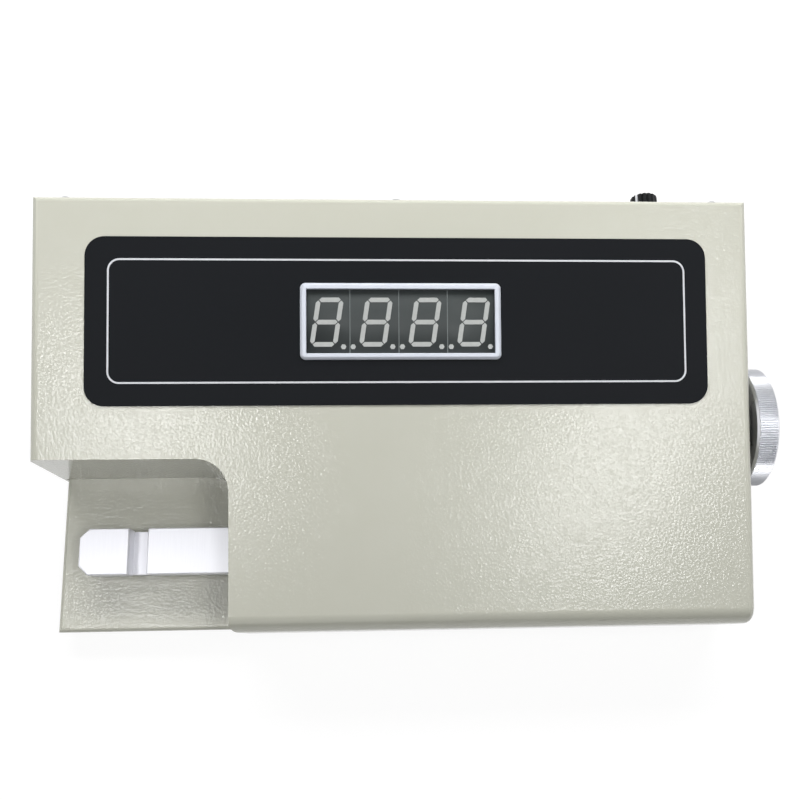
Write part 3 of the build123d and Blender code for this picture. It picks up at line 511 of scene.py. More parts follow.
# Milled and blasted aluminium: nearly white, with fine lines across each bar. The
# blasted skin scatters part of the light, so it isn't wholly a mirror.
milled_aluminium, tree, place = start_finish("fine_milled_aluminium")
along = add_node(tree, "ShaderNodeMapping", {}, {"Vector": place, "Scale": (1.0, 0.04, 1.0)})
marks = add_node(tree, "ShaderNodeTexNoise", {},
                 {"Vector": along.outputs[0], "Scale": 1 / MILL_MARK, "Detail": 4.0})
blast = add_node(tree, "ShaderNodeTexNoise", {}, {"Vector": place, "Scale": 1 / (0.7 * MM), "Detail": 2.0})
bright = add_node(tree, "ShaderNodeMix", {"data_type": "RGBA"},
                  {0: marks.outputs[0], 6: linear("#ECECF0"), 7: linear("#F6F6FA")})
rough = add_node(tree, "ShaderNodeMapRange", {}, {"Value": blast.outputs[0], "To Min": 0.42, "To Max": 0.52})
relief = add_node(tree, "ShaderNodeBump", {},
                  {"Height": marks.outputs[0], "Strength": 0.25, "Distance": 0.015 * MM})
end_finish(tree, add_node(tree, "ShaderNodeBsdfPrincipled", {},
                          {"Base Color": bright.outputs[2], "Metallic": 0.6, "Roughness": rough.outputs[0],
                           "Normal": relief.outputs[0]}))
dress("anvil", milled_aluminium, 0.15 * MM)
dress("rest_plate", milled_aluminium, 0.3 * MM)
dress("pusher_bar", milled_aluminium, 0.15 * MM)

# ---- Handwheel ---------------------------------------------------------------------
# A turned aluminium wheel with a straight knurl rolled into its rim, held on the
# screw's end by a washer and a screw. The rim is bright and the ridges are sharp.
RIDGES = 160
RIDGE_HIGH = 0.45 * MM
RIDGE_SUNK = 0.02 * MM
RIM_EDGE = 0.8 * MM
wheel_low, wheel_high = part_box("handwheel")
wheel_radius = (wheel_high.z - wheel_low.z) / 2
wheel_axis = Vector((0, (wheel_low.y + wheel_high.y) / 2, (wheel_low.z + wheel_high.z) / 2))
HUB_PROUD = 1.2 * MM
rim_start = wheel_low.x + HUB_PROUD
rim_end = wheel_high.x

# Turned aluminium: bright, with fine rings round its axis and a few duller spots.
turned_aluminium, tree, place = start_finish("turned_aluminium")
centred = add_node(tree, "ShaderNodeMapping", {"vector_type": "POINT"},
                   {"Vector": place, "Location": -wheel_axis})
split = add_node(tree, "ShaderNodeSeparateXYZ", {}, {0: centred.outputs[0]})
flat = add_node(tree, "ShaderNodeCombineXYZ", {}, {"Y": split.outputs["Y"], "Z": split.outputs["Z"]})
radial = add_node(tree, "ShaderNodeVectorMath", {"operation": "LENGTH"}, {0: flat.outputs[0]})
lathe = add_node(tree, "ShaderNodeTexNoise", {"noise_dimensions": "1D"},
                 {"W": radial.outputs["Value"], "Scale": 1 / (0.35 * MM), "Detail": 3.0})
spots = add_node(tree, "ShaderNodeTexNoise", {}, {"Vector": place, "Scale": 1 / (4 * MM), "Detail": 3.0})
silver = add_node(tree, "ShaderNodeMix", {"data_type": "RGBA"},
                  {0: spots.outputs[0], 6: linear("#DADBDE"), 7: linear("#E8E9EC")})
rough = add_node(tree, "ShaderNodeMapRange", {}, {"Value": spots.outputs[0], "To Min": 0.24, "To Max": 0.34})
relief = add_node(tree, "ShaderNodeBump", {},
                  {"Height": lathe.outputs[0], "Strength": 0.3, "Distance": 0.02 * MM})
end_finish(tree, add_node(tree, "ShaderNodeBsdfPrincipled", {},
                          {"Base Color": silver.outputs[2], "Metallic": 1.0, "Roughness": rough.outputs[0],
                           "Normal": relief.outputs[0]}))


def lathe_turned(form, profile, centre, direction, steps):
    """Turns (distance along, radius) points about the axis; a radius of 0 closes on the axis."""
    side = direction.orthogonal().normalized()
    other = direction.cross(side)
    rings = []
    for along, radius in profile:
        middle = centre + along * direction
        if radius == 0:
            rings.append([form.verts.new(middle)] * steps)
            continue
        ring = []
        for step in range(steps):
            angle = 2 * math.pi * step / steps
            ring.append(form.verts.new(middle + radius * (math.cos(angle) * side + math.sin(angle) * other)))
        rings.append(ring)
    for near, far in zip(rings, rings[1:]):
        for step in range(steps):
            after = (step + 1) % steps
            corners = dict.fromkeys((near[step], near[after], far[after], far[step]))
            form.faces.new(list(corners))


def smoothed(piece, sharpest):
    """Smooth shading over edges of up to that many degrees."""
    piece.data.shade_smooth()
    piece.data.set_sharp_from_angle(angle=math.radians(sharpest))


SHAFT = 4.0 * MM
HUB = 9.0 * MM
RIM_WALL = 6.0 * MM
COVE = 1.0 * MM              # the rounded corners where hub and rim meet the web
COVE_MIDDLE = 0.3 * MM
TURNED_EDGE = 0.3 * MM
WHEEL_STEPS = 128
rim_inside = wheel_radius - RIM_WALL
root = wheel_radius - RIDGE_HIGH
web_near = rim_start + 3.2 * MM
web_far = rim_end - 2.7 * MM
profile = [
    (wheel_low.x, SHAFT), (wheel_low.x, HUB - TURNED_EDGE), (wheel_low.x + TURNED_EDGE, HUB),
    (web_near - COVE, HUB), (web_near - COVE_MIDDLE, HUB + COVE_MIDDLE), (web_near, HUB + COVE),
    (web_near, rim_inside - COVE), (web_near - COVE_MIDDLE, rim_inside - COVE_MIDDLE),
    (web_near - COVE, rim_inside), (rim_start + TURNED_EDGE, rim_inside),
    (rim_start, rim_inside + TURNED_EDGE), (rim_start, root - RIM_EDGE), (rim_start + RIM_EDGE, root),
    (rim_end - RIM_EDGE, root), (rim_end, root - RIM_EDGE), (rim_end, rim_inside + TURNED_EDGE),
    (rim_end - TURNED_EDGE, rim_inside), (web_far + COVE, rim_inside),
    (web_far + COVE_MIDDLE, rim_inside - COVE_MIDDLE), (web_far, rim_inside - COVE), (web_far, SHAFT),
]
form = bmesh.new()
lathe_turned(form, profile + profile[:1], wheel_axis, Vector((1, 0, 0)), WHEEL_STEPS)
wheel_body = finished("handwheel_turned", form, turned_aluminium, "wheel")
smoothed(wheel_body, 28)


def node_group(name, sockets):
    """A geometry tree with named inputs; sockets are (name, type)."""
    group = bpy.data.node_groups.new(name, "GeometryNodeTree")
    group.interface.new_socket("Geometry", in_out="OUTPUT", socket_type="NodeSocketGeometry")
    for socket_name, kind in sockets:
        group.interface.new_socket(socket_name, in_out="INPUT", socket_type=kind)
    return group, group.nodes.new("NodeGroupInput"), group.nodes.new("NodeGroupOutput")


def grown(name, group, start, values):
    """The tree run on a start mesh with its inputs set by name, as a plain mesh object."""
    made = bpy.data.objects.new(name + "_source", start)
    scene.collection.objects.link(made)
    modifier = made.modifiers.new("grown", "NODES")
    modifier.node_group = group
    sockets = {item.name: item.identifier for item in group.interface.items_tree if item.in_out == "INPUT"}
    for socket_name, value in values.items():
        modifier[sockets[socket_name]] = value
    made.update_tag()
    return applied(made, name)


# One ridge of the knurl: a bar with a narrow flat top and sloping ends.
ridge_form = bmesh.new()
reach = (rim_end - rim_start) / 2 - RIM_EDGE
half_foot = math.pi * root / RIDGES
half_top = half_foot * 0.25
lines = [(-half_foot, 0), (-half_top, RIDGE_HIGH), (half_top, RIDGE_HIGH), (half_foot, 0)]
ends = []
for along, short in ((-reach, 1), (reach, -1)):
    ends.append([ridge_form.verts.new((along + short * 0.5 * RIDGE_HIGH * (z > 0), y, z)) for y, z in lines])
for index in range(3):
    ridge_form.faces.new((ends[0][index], ends[1][index], ends[1][index + 1], ends[0][index + 1]))
ridge_form.faces.new(ends[0])
ridge_form.faces.new(ends[1][::-1])
ridge = bpy.data.objects.new("knurl_ridge", outward_mesh(ridge_form, "knurl_ridge"))

knurl, given, result = node_group("straight_knurl", [
    ("Ridge", "NodeSocketObject"), ("Count", "NodeSocketInt"), ("Root Radius", "NodeSocketFloat"),
    ("Centre", "NodeSocketVector"), ("Finish", "NodeSocketMaterial"),
])
circle = add_node(knurl, "GeometryNodeMeshCircle", {},
                  {"Vertices": given.outputs["Count"], "Radius": given.outputs["Root Radius"]})
stood = add_node(knurl, "GeometryNodeTransform", {}, {0: circle.outputs[0], "Rotation": (0, math.pi / 2, 0)})
spot = add_node(knurl, "GeometryNodeInputPosition", {}, {})
outward = add_node(knurl, "FunctionNodeAlignRotationToVector", {"axis": "Z", "pivot_axis": "X"},
                   {"Vector": spot.outputs[0]})
bar = add_node(knurl, "GeometryNodeObjectInfo", {}, {"Object": given.outputs["Ridge"]})
rows = add_node(knurl, "GeometryNodeInstanceOnPoints", {},
                {"Points": stood.outputs[0], "Instance": bar.outputs["Geometry"],
                 "Rotation": outward.outputs[0]})
moved = add_node(knurl, "GeometryNodeTransform", {},
                 {0: rows.outputs[0], "Translation": given.outputs["Centre"]})
real = add_node(knurl, "GeometryNodeRealizeInstances", {}, {0: moved.outputs[0]})
coated = add_node(knurl, "GeometryNodeSetMaterial", {},
                  {0: real.outputs[0], "Material": given.outputs["Finish"]})
knurl.links.new(coated.outputs[0], result.inputs[0])
rim_middle = wheel_axis + Vector(((rim_start + rim_end) / 2, 0, 0))
ridges = grown("handwheel_knurl", knurl, bpy.data.meshes.new("knurl_start"), {
    "Ridge": ridge, "Count": RIDGES, "Root Radius": root - RIDGE_SUNK,
    "Centre": rim_middle, "Finish": turned_aluminium,
})
bpy.data.objects.remove(ridge)
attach(ridges, "wheel")
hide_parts("handwheel")

# ---- Zero knob --------------------------------------------------------------------
# A moulded black knob with flutes and a white line filled into it, pushed on the
# zero potentiometer's shaft behind the case.
knob_low, knob_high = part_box("zero_knob")
RIDGES_STAND = 0.5 * MM      # the ridges between the flutes stand out from the plain solid
knob_radius = (knob_high.x - knob_low.x) / 2 + RIDGES_STAND
knob_axis = Vector(((knob_low.x + knob_high.x) / 2, 0, (knob_low.z + knob_high.z) / 2))
FLUTES = 16
FLUTE_DEEP = 0.7 * MM
SKIRT = 2.0 * MM

# Moulded ABS: black, with a fine spark-eroded skin that leaves only dull highlights.
black_plastic, tree, place = start_finish("moulded_black_abs")
skin = add_node(tree, "ShaderNodeTexNoise", {}, {"Vector": place, "Scale": 1 / (0.9 * MM), "Detail": 3.0})
wear = add_node(tree, "ShaderNodeTexNoise", {}, {"Vector": place, "Scale": 1 / (11 * MM), "Detail": 2.0})
black = add_node(tree, "ShaderNodeMix", {"data_type": "RGBA"},
                 {0: wear.outputs[0], 6: linear("#131415"), 7: linear("#1A1B1C")})
rough = add_node(tree, "ShaderNodeMapRange", {}, {"Value": skin.outputs[0], "To Min": 0.4, "To Max": 0.55})
relief = add_node(tree, "ShaderNodeBump", {},
                  {"Height": skin.outputs[0], "Strength": 0.2, "Distance": 0.03 * MM})
end_finish(tree, add_node(tree, "ShaderNodeBsdfPrincipled", {},
                          {"Base Color": black.outputs[2], "Roughness": rough.outputs[0],
                           "Normal": relief.outputs[0], "Specular IOR Level": 0.2}))

# Stations from the case outwards: place, how far below the ridges, and the
# share of the flutes' depth.
KNOB_STEPS = FLUTES * 8
KNOB_EDGE = 0.6 * MM
FLUTE_SHAPE = 0.7            # below 1, so that the flutes are wider than the ridges
stations = [
    (knob_low.y, 0.2 * MM, 0), (knob_low.y + 0.2 * MM, 0, 0), (knob_low.y + SKIRT - 0.3 * MM, 0, 0),
    (knob_low.y + SKIRT, 0.3 * MM, 1), (knob_high.y - KNOB_EDGE, 0.45 * MM, 1),
    (knob_high.y - 0.2 * MM, 0.7 * MM, 0.8), (knob_high.y, 1.3 * MM, 0.3), (knob_high.y, 2.4 * MM, 0),
]
form = bmesh.new()
rings = []
for along, below, share in stations:
    ring = []
    for step in range(KNOB_STEPS):
        angle = 2 * math.pi * step / KNOB_STEPS
        dip = max(0.0, math.cos(FLUTES * angle)) ** FLUTE_SHAPE * FLUTE_DEEP * share
        reach = knob_radius - below - dip
        spot = knob_axis + Vector((reach * math.cos(angle), along, reach * math.sin(angle)))
        ring.append(form.verts.new(spot))
    rings.append(ring)
for near, far in zip(rings, rings[1:]):
    for step in range(KNOB_STEPS):
        after = (step + 1) % KNOB_STEPS
        form.faces.new((near[step], near[after], far[after], far[step]))
form.faces.new(rings[-1])
form.faces.new(rings[0][::-1])
knob = finished("zero_knob_moulded", form, black_plastic, "zero_control")
smoothed(knob, 32)
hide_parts("zero_knob")

# The white line is filled into a groove from the knob's edge towards its middle.
# Its outline: place along the knob, and how far below the ridges.
LINE_ANGLE = math.radians(139)
LINE_WIDE = 0.8 * MM
line_out = Vector((math.cos(LINE_ANGLE), 0, math.sin(LINE_ANGLE)))
line_side = Vector((-math.sin(LINE_ANGLE), 0, math.cos(LINE_ANGLE)))
groove = [
    (knob_low.y + SKIRT, 0.25 * MM), (knob_high.y - KNOB_EDGE, 0.4 * MM),
    (knob_high.y - 0.15 * MM, 0.75 * MM), (knob_high.y, 1.4 * MM), (knob_high.y, 4.2 * MM),
    (knob_high.y - 0.5 * MM, 4.2 * MM), (knob_high.y - 1.2 * MM, 1.9 * MM), (knob_low.y + SKIRT, 1.2 * MM),
]
form = bmesh.new()
sides = []
for across in (-LINE_WIDE / 2, LINE_WIDE / 2):
    middle = knob_axis + across * line_side
    sides.append([form.verts.new(middle + Vector((0, y, 0)) + (knob_radius - below) * line_out)
                  for y, below in groove])
for corner in range(len(groove)):
    after = (corner + 1) % len(groove)
    form.faces.new((sides[0][corner], sides[0][after], sides[1][after], sides[1][corner]))
form.faces.new(sides[0])
form.faces.new(sides[1][::-1])
finished("zero_knob_line", form, stripe_ink, "zero_control")

# ---- Rubber feet ------------------------------------------------------------------
# Four moulded rubber feet under the base, each held by a screw through its hollow
# middle. Rubber is matt, with a grey bloom on its rounded edge.

# Moulded rubber: dull black with fine specks and a greyer bloom in places.
foot_rubber, tree, place = start_finish("moulded_black_rubber")
speck = add_node(tree, "ShaderNodeTexNoise", {}, {"Vector": place, "Scale": 1 / (0.6 * MM), "Detail": 3.0})
bloom = add_node(tree, "ShaderNodeTexNoise", {}, {"Vector": place, "Scale": 1 / (7 * MM), "Detail": 3.0})
dark = add_node(tree, "ShaderNodeMix", {"data_type": "RGBA"},
                {0: bloom.outputs[0], 6: linear("#1B1B1A"), 7: linear("#2A2A29")})
rough = add_node(tree, "ShaderNodeMapRange", {}, {"Value": bloom.outputs[0], "To Min": 0.7, "To Max": 0.9})
relief = add_node(tree, "ShaderNodeBump", {},
                  {"Height": speck.outputs[0], "Strength": 0.4, "Distance": 0.05 * MM})
end_finish(tree, add_node(tree, "ShaderNodeBsdfPrincipled", {},
                          {"Base Color": dark.outputs[2], "Roughness": rough.outputs[0],
                           "Normal": relief.outputs[0], "Specular IOR Level": 0.3}))
dress("rubber_feet", foot_rubber, 0.7 * MM, sharp=40.0, segments=3)

# ---- Guide rods, bearings and end plates --------------------------------------------
# Two ground steel rods between milled end plates carry the crosshead. The screw
# turns in flanged sintered bronze bushes, and collars stop it from sliding.

# Ground steel: bright, with fine lines round each rod and a thin, uneven oil film.
ground_steel, tree, place = start_finish("ground_bearing_steel")
across = add_node(tree, "ShaderNodeMapping", {}, {"Vector": place, "Scale": (1.0, 0.08, 0.08)})
grind = add_node(tree, "ShaderNodeTexNoise", {},
                 {"Vector": across.outputs[0], "Scale": 1 / (0.3 * MM), "Detail": 3.0})
oil = add_node(tree, "ShaderNodeTexNoise", {}, {"Vector": place, "Scale": 1 / (12 * MM), "Detail": 3.0})
steel = add_node(tree, "ShaderNodeMix", {"data_type": "RGBA"},
                 {0: oil.outputs[0], 6: linear("#B4B5B8"), 7: linear("#C6C7CA")})
rough = add_node(tree, "ShaderNodeMapRange", {}, {"Value": oil.outputs[0], "To Min": 0.18, "To Max": 0.3})
relief = add_node(tree, "ShaderNodeBump", {},
                  {"Height": grind.outputs[0], "Strength": 0.2, "Distance": 0.01 * MM})
end_finish(tree, add_node(tree, "ShaderNodeBsdfPrincipled", {},
                          {"Base Color": steel.outputs[2], "Metallic": 1.0, "Roughness": rough.outputs[0],
                           "Normal": relief.outputs[0]}))
dress("guide_rods", ground_steel, 0.4 * MM, sharp=50.0)
dress("shaft_collars", ground_steel, 0.3 * MM, sharp=50.0)

# Sintered bronze: dull brown gold, dark in its open pores.
sintered_bronze, tree, place = start_finish("sintered_bronze")
pores = add_node(tree, "ShaderNodeTexNoise", {}, {"Vector": place, "Scale": 1 / (0.35 * MM), "Detail": 3.0})
warm = add_node(tree, "ShaderNodeMix", {"data_type": "RGBA"},
                {0: pores.outputs[0], 6: linear("#8A6238"), 7: linear("#B98A55")})
relief = add_node(tree, "ShaderNodeBump", {},
                  {"Height": pores.outputs[0], "Strength": 0.5, "Distance": 0.05 * MM})
end_finish(tree, add_node(tree, "ShaderNodeBsdfPrincipled", {},
                          {"Base Color": warm.outputs[2], "Metallic": 1.0, "Roughness": 0.48,
                           "Normal": relief.outputs[0]}))
dress("screw_bearings", sintered_bronze, 0.3 * MM, sharp=50.0)
dress("guide_bushes", sintered_bronze, 0.3 * MM, sharp=50.0)

# ---- Lead screw and nut ----------------------------------------------------------------
# A rolled steel screw with a 2 mm trapezoidal thread and a plain journal at each
# end. Its flanged nut is turned brass, fixed to the crosshead by four screws.
THREAD_PITCH = 2.0 * MM
THREAD_CREST = 5.0 * MM
THREAD_ROOT = 4.0 * MM
THREAD_FLAT = 0.3
STATIONS_PER_TURN = 6
screw_low, screw_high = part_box("lead_screw")
plate_low, plate_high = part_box("end_plates")
ROUND_STEPS = 32
JOURNAL = THREAD_ROOT - 0.02 * MM
CHAMFER = 0.5 * MM
JOINED = 0.1 * MM            # how far the journals reach into the threaded length
PLATE_THICK = 10 * MM
BEARING_GAP = 2.5 * MM
thread_start = plate_low.x + PLATE_THICK + BEARING_GAP
thread_end = plate_high.x - PLATE_THICK - BEARING_GAP


def threaded(form, start, direction, length, root, crest, pitch, steps, flat):
    """A closed threaded bar; flat is the crest's and the root's share of the pitch."""
    side = direction.orthogonal().normalized()
    other = direction.cross(side)
    count = int(length / pitch * STATIONS_PER_TURN)
    rings = []
    for index in range(count + 1):
        along = length * index / count
        fade = min(1.0, (length - along) / pitch, along / pitch)
        ring = []
        for step in range(steps):
            phase = (along / pitch - step / steps) % 1.0
            height = min(1.0, max(0.0, (abs(2 * phase - 1) - flat) / (1 - 2 * flat)))
            reach = root + (crest - root) * height * fade
            angle = 2 * math.pi * step / steps
            spot = start + along * direction + reach * (math.cos(angle) * side + math.sin(angle) * other)
            ring.append(form.verts.new(spot))
        rings.append(ring)
    for near, far in zip(rings, rings[1:]):
        for step in range(steps):
            after = (step + 1) % steps
            form.faces.new((near[step], near[after], far[after], far[step]))
    form.faces.new(rings[0][::-1])
    form.faces.new(rings[-1])


form = bmesh.new()
screw_line = Vector((0, wheel_axis.y, wheel_axis.z))
rightwards = Vector((1, 0, 0))
threaded(form, screw_line + thread_start * rightwards, rightwards, thread_end - thread_start,
         THREAD_ROOT, THREAD_CREST, THREAD_PITCH, ROUND_STEPS, THREAD_FLAT)
for near, far in ((screw_low.x, thread_start + JOINED), (thread_end - JOINED, screw_high.x)):
    lathe_turned(form, [(near, 0), (near, JOURNAL - CHAMFER), (near + CHAMFER, JOURNAL),
                        (far - CHAMFER, JOURNAL), (far, JOURNAL - CHAMFER), (far, 0)],
                 screw_line, rightwards, ROUND_STEPS)
thread_piece = finished("lead_screw_threaded", form, ground_steel, "wheel")
smoothed(thread_piece, 30)
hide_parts("lead_screw")

# Turned brass: warm yellow, with fine rings and a light tarnish.
turned_brass, tree, place = start_finish("turned_brass")
around = add_node(tree, "ShaderNodeMapping", {}, {"Vector": place, "Scale": (1.0, 0.05, 0.05)})
lathe = add_node(tree, "ShaderNodeTexNoise", {},
                 {"Vector": around.outputs[0], "Scale": 1 / (0.3 * MM), "Detail": 3.0})
tarnish = add_node(tree, "ShaderNodeTexNoise", {}, {"Vector": place, "Scale": 1 / (6 * MM), "Detail": 3.0})
gold = add_node(tree, "ShaderNodeMix", {"data_type": "RGBA"},
                {0: tarnish.outputs[0], 6: linear("#B8924C"), 7: linear("#D3B26A")})
relief = add_node(tree, "ShaderNodeBump", {},
                  {"Height": lathe.outputs[0], "Strength": 0.3, "Distance": 0.02 * MM})
end_finish(tree, add_node(tree, "ShaderNodeBsdfPrincipled", {},
                          {"Base Color": gold.outputs[2], "Metallic": 1.0, "Roughness": 0.3,
                           "Normal": relief.outputs[0]}))
dress("drive_nut", turned_brass, 0.4 * MM, sharp=50.0)

# ---- Crosshead, load cell and pusher guide ------------------------------------------------
# The crosshead, spacers and end plates are milled like the jaws. The load cell's
# slots let it bend under load, and a machined acetal bridge keeps the pusher level.
dress("end_plates", milled_aluminium, 0.4 * MM, sharp=50.0)
dress("crosshead", milled_aluminium, 0.4 * MM, sharp=50.0)
dress("load_cell", milled_aluminium, 0.3 * MM, sharp=50.0)
dress("arm_spacers", milled_aluminium, 0.2 * MM, sharp=50.0)

# Machined acetal: waxy white, with the cutter's faint lines.
machined_acetal, tree, place = start_finish("machined_white_acetal")
cutter = add_node(tree, "ShaderNodeMapping", {}, {"Vector": place, "Scale": (0.06, 1.0, 1.0)})
marks = add_node(tree, "ShaderNodeTexNoise", {},
                 {"Vector": cutter.outputs[0], "Scale": 1 / (0.6 * MM), "Detail": 3.0})
milk = add_node(tree, "ShaderNodeMix", {"data_type": "RGBA"},
                {0: marks.outputs[0], 6: linear("#D8D7D1"), 7: linear("#E2E1DB")})
relief = add_node(tree, "ShaderNodeBump", {},
                  {"Height": marks.outputs[0], "Strength": 0.3, "Distance": 0.03 * MM})
end_finish(tree, add_node(tree, "ShaderNodeBsdfPrincipled", {},
                          {"Base Color": milk.outputs[2], "Roughness": 0.42, "Normal": relief.outputs[0]}))
dress("pusher_guide", machined_acetal, 0.3 * MM, sharp=50.0)

# ---- Circuit boards ---------------------------------------------------------------------------
# Glass-epoxy boards with green solder mask over the copper tracks, on moulded
# nylon posts and spacers. The parts on them are moulded black epoxy.
TRACK_GRID = 1.6 * MM        # coarser than real tracks, so that they show

# Solder mask: glossy green, lighter and raised where it runs over a copper track.
solder_mask, tree, place = start_finish("green_solder_mask_board")
steps = add_node(tree, "ShaderNodeVectorMath", {"operation": "SNAP"},
                 {0: place, 1: (TRACK_GRID, TRACK_GRID, TRACK_GRID)})
tracks = add_node(tree, "ShaderNodeTexVoronoi", {"distance": "MANHATTAN", "feature": "DISTANCE_TO_EDGE"},
                  {"Vector": steps.outputs[0], "Scale": 1 / (7 * MM)})
copper = add_node(tree, "ShaderNodeMapRange", {},
                  {"Value": tracks.outputs[0], "From Min": 0.05, "From Max": 0.09})
green = add_node(tree, "ShaderNodeMix", {"data_type": "RGBA"},
                 {0: copper.outputs[0], 6: linear("#2F7A45"), 7: linear("#155A2E")})
relief = add_node(tree, "ShaderNodeBump", {"invert": True},
                  {"Height": copper.outputs[0], "Strength": 0.5, "Distance": 0.04 * MM})
end_finish(tree, add_node(tree, "ShaderNodeBsdfPrincipled", {},
                          {"Base Color": green.outputs[2], "Roughness": 0.3, "Normal": relief.outputs[0]}))
paint("display_board", solder_mask)
paint("main_board", solder_mask)

# Moulded epoxy: dull black with a fine gritty skin.
moulded_epoxy, tree, place = start_finish("moulded_black_epoxy")
grit = add_node(tree, "ShaderNodeTexNoise", {}, {"Vector": place, "Scale": 1 / (0.4 * MM), "Detail": 3.0})
soot = add_node(tree, "ShaderNodeMix", {"data_type": "RGBA"},
                {0: grit.outputs[0], 6: linear("#1A1B1C"), 7: linear("#2B2C2D")})
relief = add_node(tree, "ShaderNodeBump", {},
                  {"Height": grit.outputs[0], "Strength": 0.3, "Distance": 0.03 * MM})
end_finish(tree, add_node(tree, "ShaderNodeBsdfPrincipled", {},
                          {"Base Color": soot.outputs[2], "Roughness": 0.55, "Normal": relief.outputs[0]}))
dress("board_parts", moulded_epoxy, 0.2 * MM, sharp=50.0)

# Natural nylon: ivory and slightly translucent, with soft flow marks.
moulded_nylon, tree, place = start_finish("moulded_natural_nylon")
flow = add_node(tree, "ShaderNodeTexNoise", {}, {"Vector": place, "Scale": 1 / (2 * MM), "Detail": 2.0})
ivory = add_node(tree, "ShaderNodeMix", {"data_type": "RGBA"},
                 {0: flow.outputs[0], 6: linear("#CFCBBC"), 7: linear("#DCD9CC")})
end_finish(tree, add_node(tree, "ShaderNodeBsdfPrincipled", {},
                          {"Base Color": ivory.outputs[2], "Roughness": 0.45, "Subsurface Weight": 0.1,
                           "Subsurface Scale": 1 * MM}))
dress("display_posts", moulded_nylon, 0.2 * MM, sharp=50.0)
dress("board_spacers", moulded_nylon, 0.2 * MM, sharp=50.0)

# ---- Transformer -------------------------------------------------------------------------------
# A stack of 0.5 mm varnished steel laminations through a bobbin wound with copper
# wire and yellow polyester tape, strapped to the base by a folded plated bracket.
LAMINATION = 1.0 * MM        # twice the real 0.5 mm, so that the stack shows

# Varnished laminations: dark brown, half glossy, with a fine gap after each leaf.
core_steel, tree, place = start_finish("varnished_core_laminations")
split = add_node(tree, "ShaderNodeSeparateXYZ", {}, {0: place})
leaf = add_node(tree, "ShaderNodeMath", {"operation": "PINGPONG"}, {0: split.outputs["Y"], 1: LAMINATION / 2})
gap = add_node(tree, "ShaderNodeMapRange", {},
               {"Value": leaf.outputs[0], "From Min": 0.05 * MM, "From Max": 0.2 * MM})
rust = add_node(tree, "ShaderNodeTexNoise", {}, {"Vector": place, "Scale": 1 / (5 * MM), "Detail": 4.0})
varnish = add_node(tree, "ShaderNodeMix", {"data_type": "RGBA"},
                   {0: rust.outputs[0], 6: linear("#2C2B2A"), 7: linear("#4B4641")})
relief = add_node(tree, "ShaderNodeBump", {},
                  {"Height": gap.outputs[0], "Strength": 0.8, "Distance": 0.1 * MM})
end_finish(tree, add_node(tree, "ShaderNodeBsdfPrincipled", {},
                          {"Base Color": varnish.outputs[2], "Metallic": 0.4, "Roughness": 0.4,
                           "Normal": relief.outputs[0]}))
dress("transformer_core", core_steel, 0.3 * MM, sharp=50.0)

TAPE_TURN = 7.0 * MM

# Polyester tape: glossy yellow, wrinkled, with a low step where each turn overlaps.
winding_tape, tree, place = start_finish("yellow_polyester_tape")
split = add_node(tree, "ShaderNodeSeparateXYZ", {}, {0: place})
turns = add_node(tree, "ShaderNodeMath", {"operation": "PINGPONG"}, {0: split.outputs["Z"], 1: TAPE_TURN / 2})
lap = add_node(tree, "ShaderNodeMapRange", {}, {"Value": turns.outputs[0], "From Max": 0.3 * MM})
wrinkle = add_node(tree, "ShaderNodeTexNoise", {}, {"Vector": place, "Scale": 1 / (4 * MM), "Detail": 2.0})
yellow = add_node(tree, "ShaderNodeMix", {"data_type": "RGBA"},
                  {0: wrinkle.outputs[0], 6: linear("#B8901F"), 7: linear("#D6B03A")})
lines = add_node(tree, "ShaderNodeMath", {"operation": "ADD"}, {0: lap.outputs[0], 1: wrinkle.outputs[0]})
relief = add_node(tree, "ShaderNodeBump", {},
                  {"Height": lines.outputs[0], "Strength": 0.5, "Distance": 0.2 * MM})
end_finish(tree, add_node(tree, "ShaderNodeBsdfPrincipled", {},
                          {"Base Color": yellow.outputs[2], "Roughness": 0.25, "Normal": relief.outputs[0]}))
dress("transformer_winding", winding_tape, 1.5 * MM, sharp=50.0, segments=4)

# ---- Mains inlet, fuse and switch ---------------------------------------------------------------
# Snap-in and screwed fittings of moulded black thermoplastic in the rear panel.
# The inlet's three pins are plated brass.
dress("power_inlet", black_plastic, 0.35 * MM, sharp=30.0, segments=3)
dress("fuse_holder", black_plastic, 0.25 * MM, sharp=30.0)
dress("switch_body", black_plastic, 0.25 * MM, sharp=30.0)
dress("switch_rocker", black_plastic, 0.3 * MM, sharp=30.0, segments=3)

# Nickel-plated brass: warm silver, wiped to bright streaks by the plug.
nickel_plate, tree, place = start_finish("nickel_plated_brass")
wiping = add_node(tree, "ShaderNodeTexNoise", {}, {"Vector": place, "Scale": 1 / (2 * MM), "Detail": 4.0})
nickel = add_node(tree, "ShaderNodeMix", {"data_type": "RGBA"},
                  {0: wiping.outputs[0], 6: linear("#B9B29E"), 7: linear("#CFC9B8")})
rough = add_node(tree, "ShaderNodeMapRange", {}, {"Value": wiping.outputs[0], "To Min": 0.2, "To Max": 0.36})
end_finish(tree, add_node(tree, "ShaderNodeBsdfPrincipled", {},
                          {"Base Color": nickel.outputs[2], "Metallic": 1.0, "Roughness": rough.outputs[0]}))
dress("inlet_pins", nickel_plate, 0.3 * MM, sharp=50.0)

# ---- Zero control --------------------------------------------------------------------------------
# A stamped and plated potentiometer can with a turned shaft in a threaded bush,
# held in the rear panel by a hexagon nut.

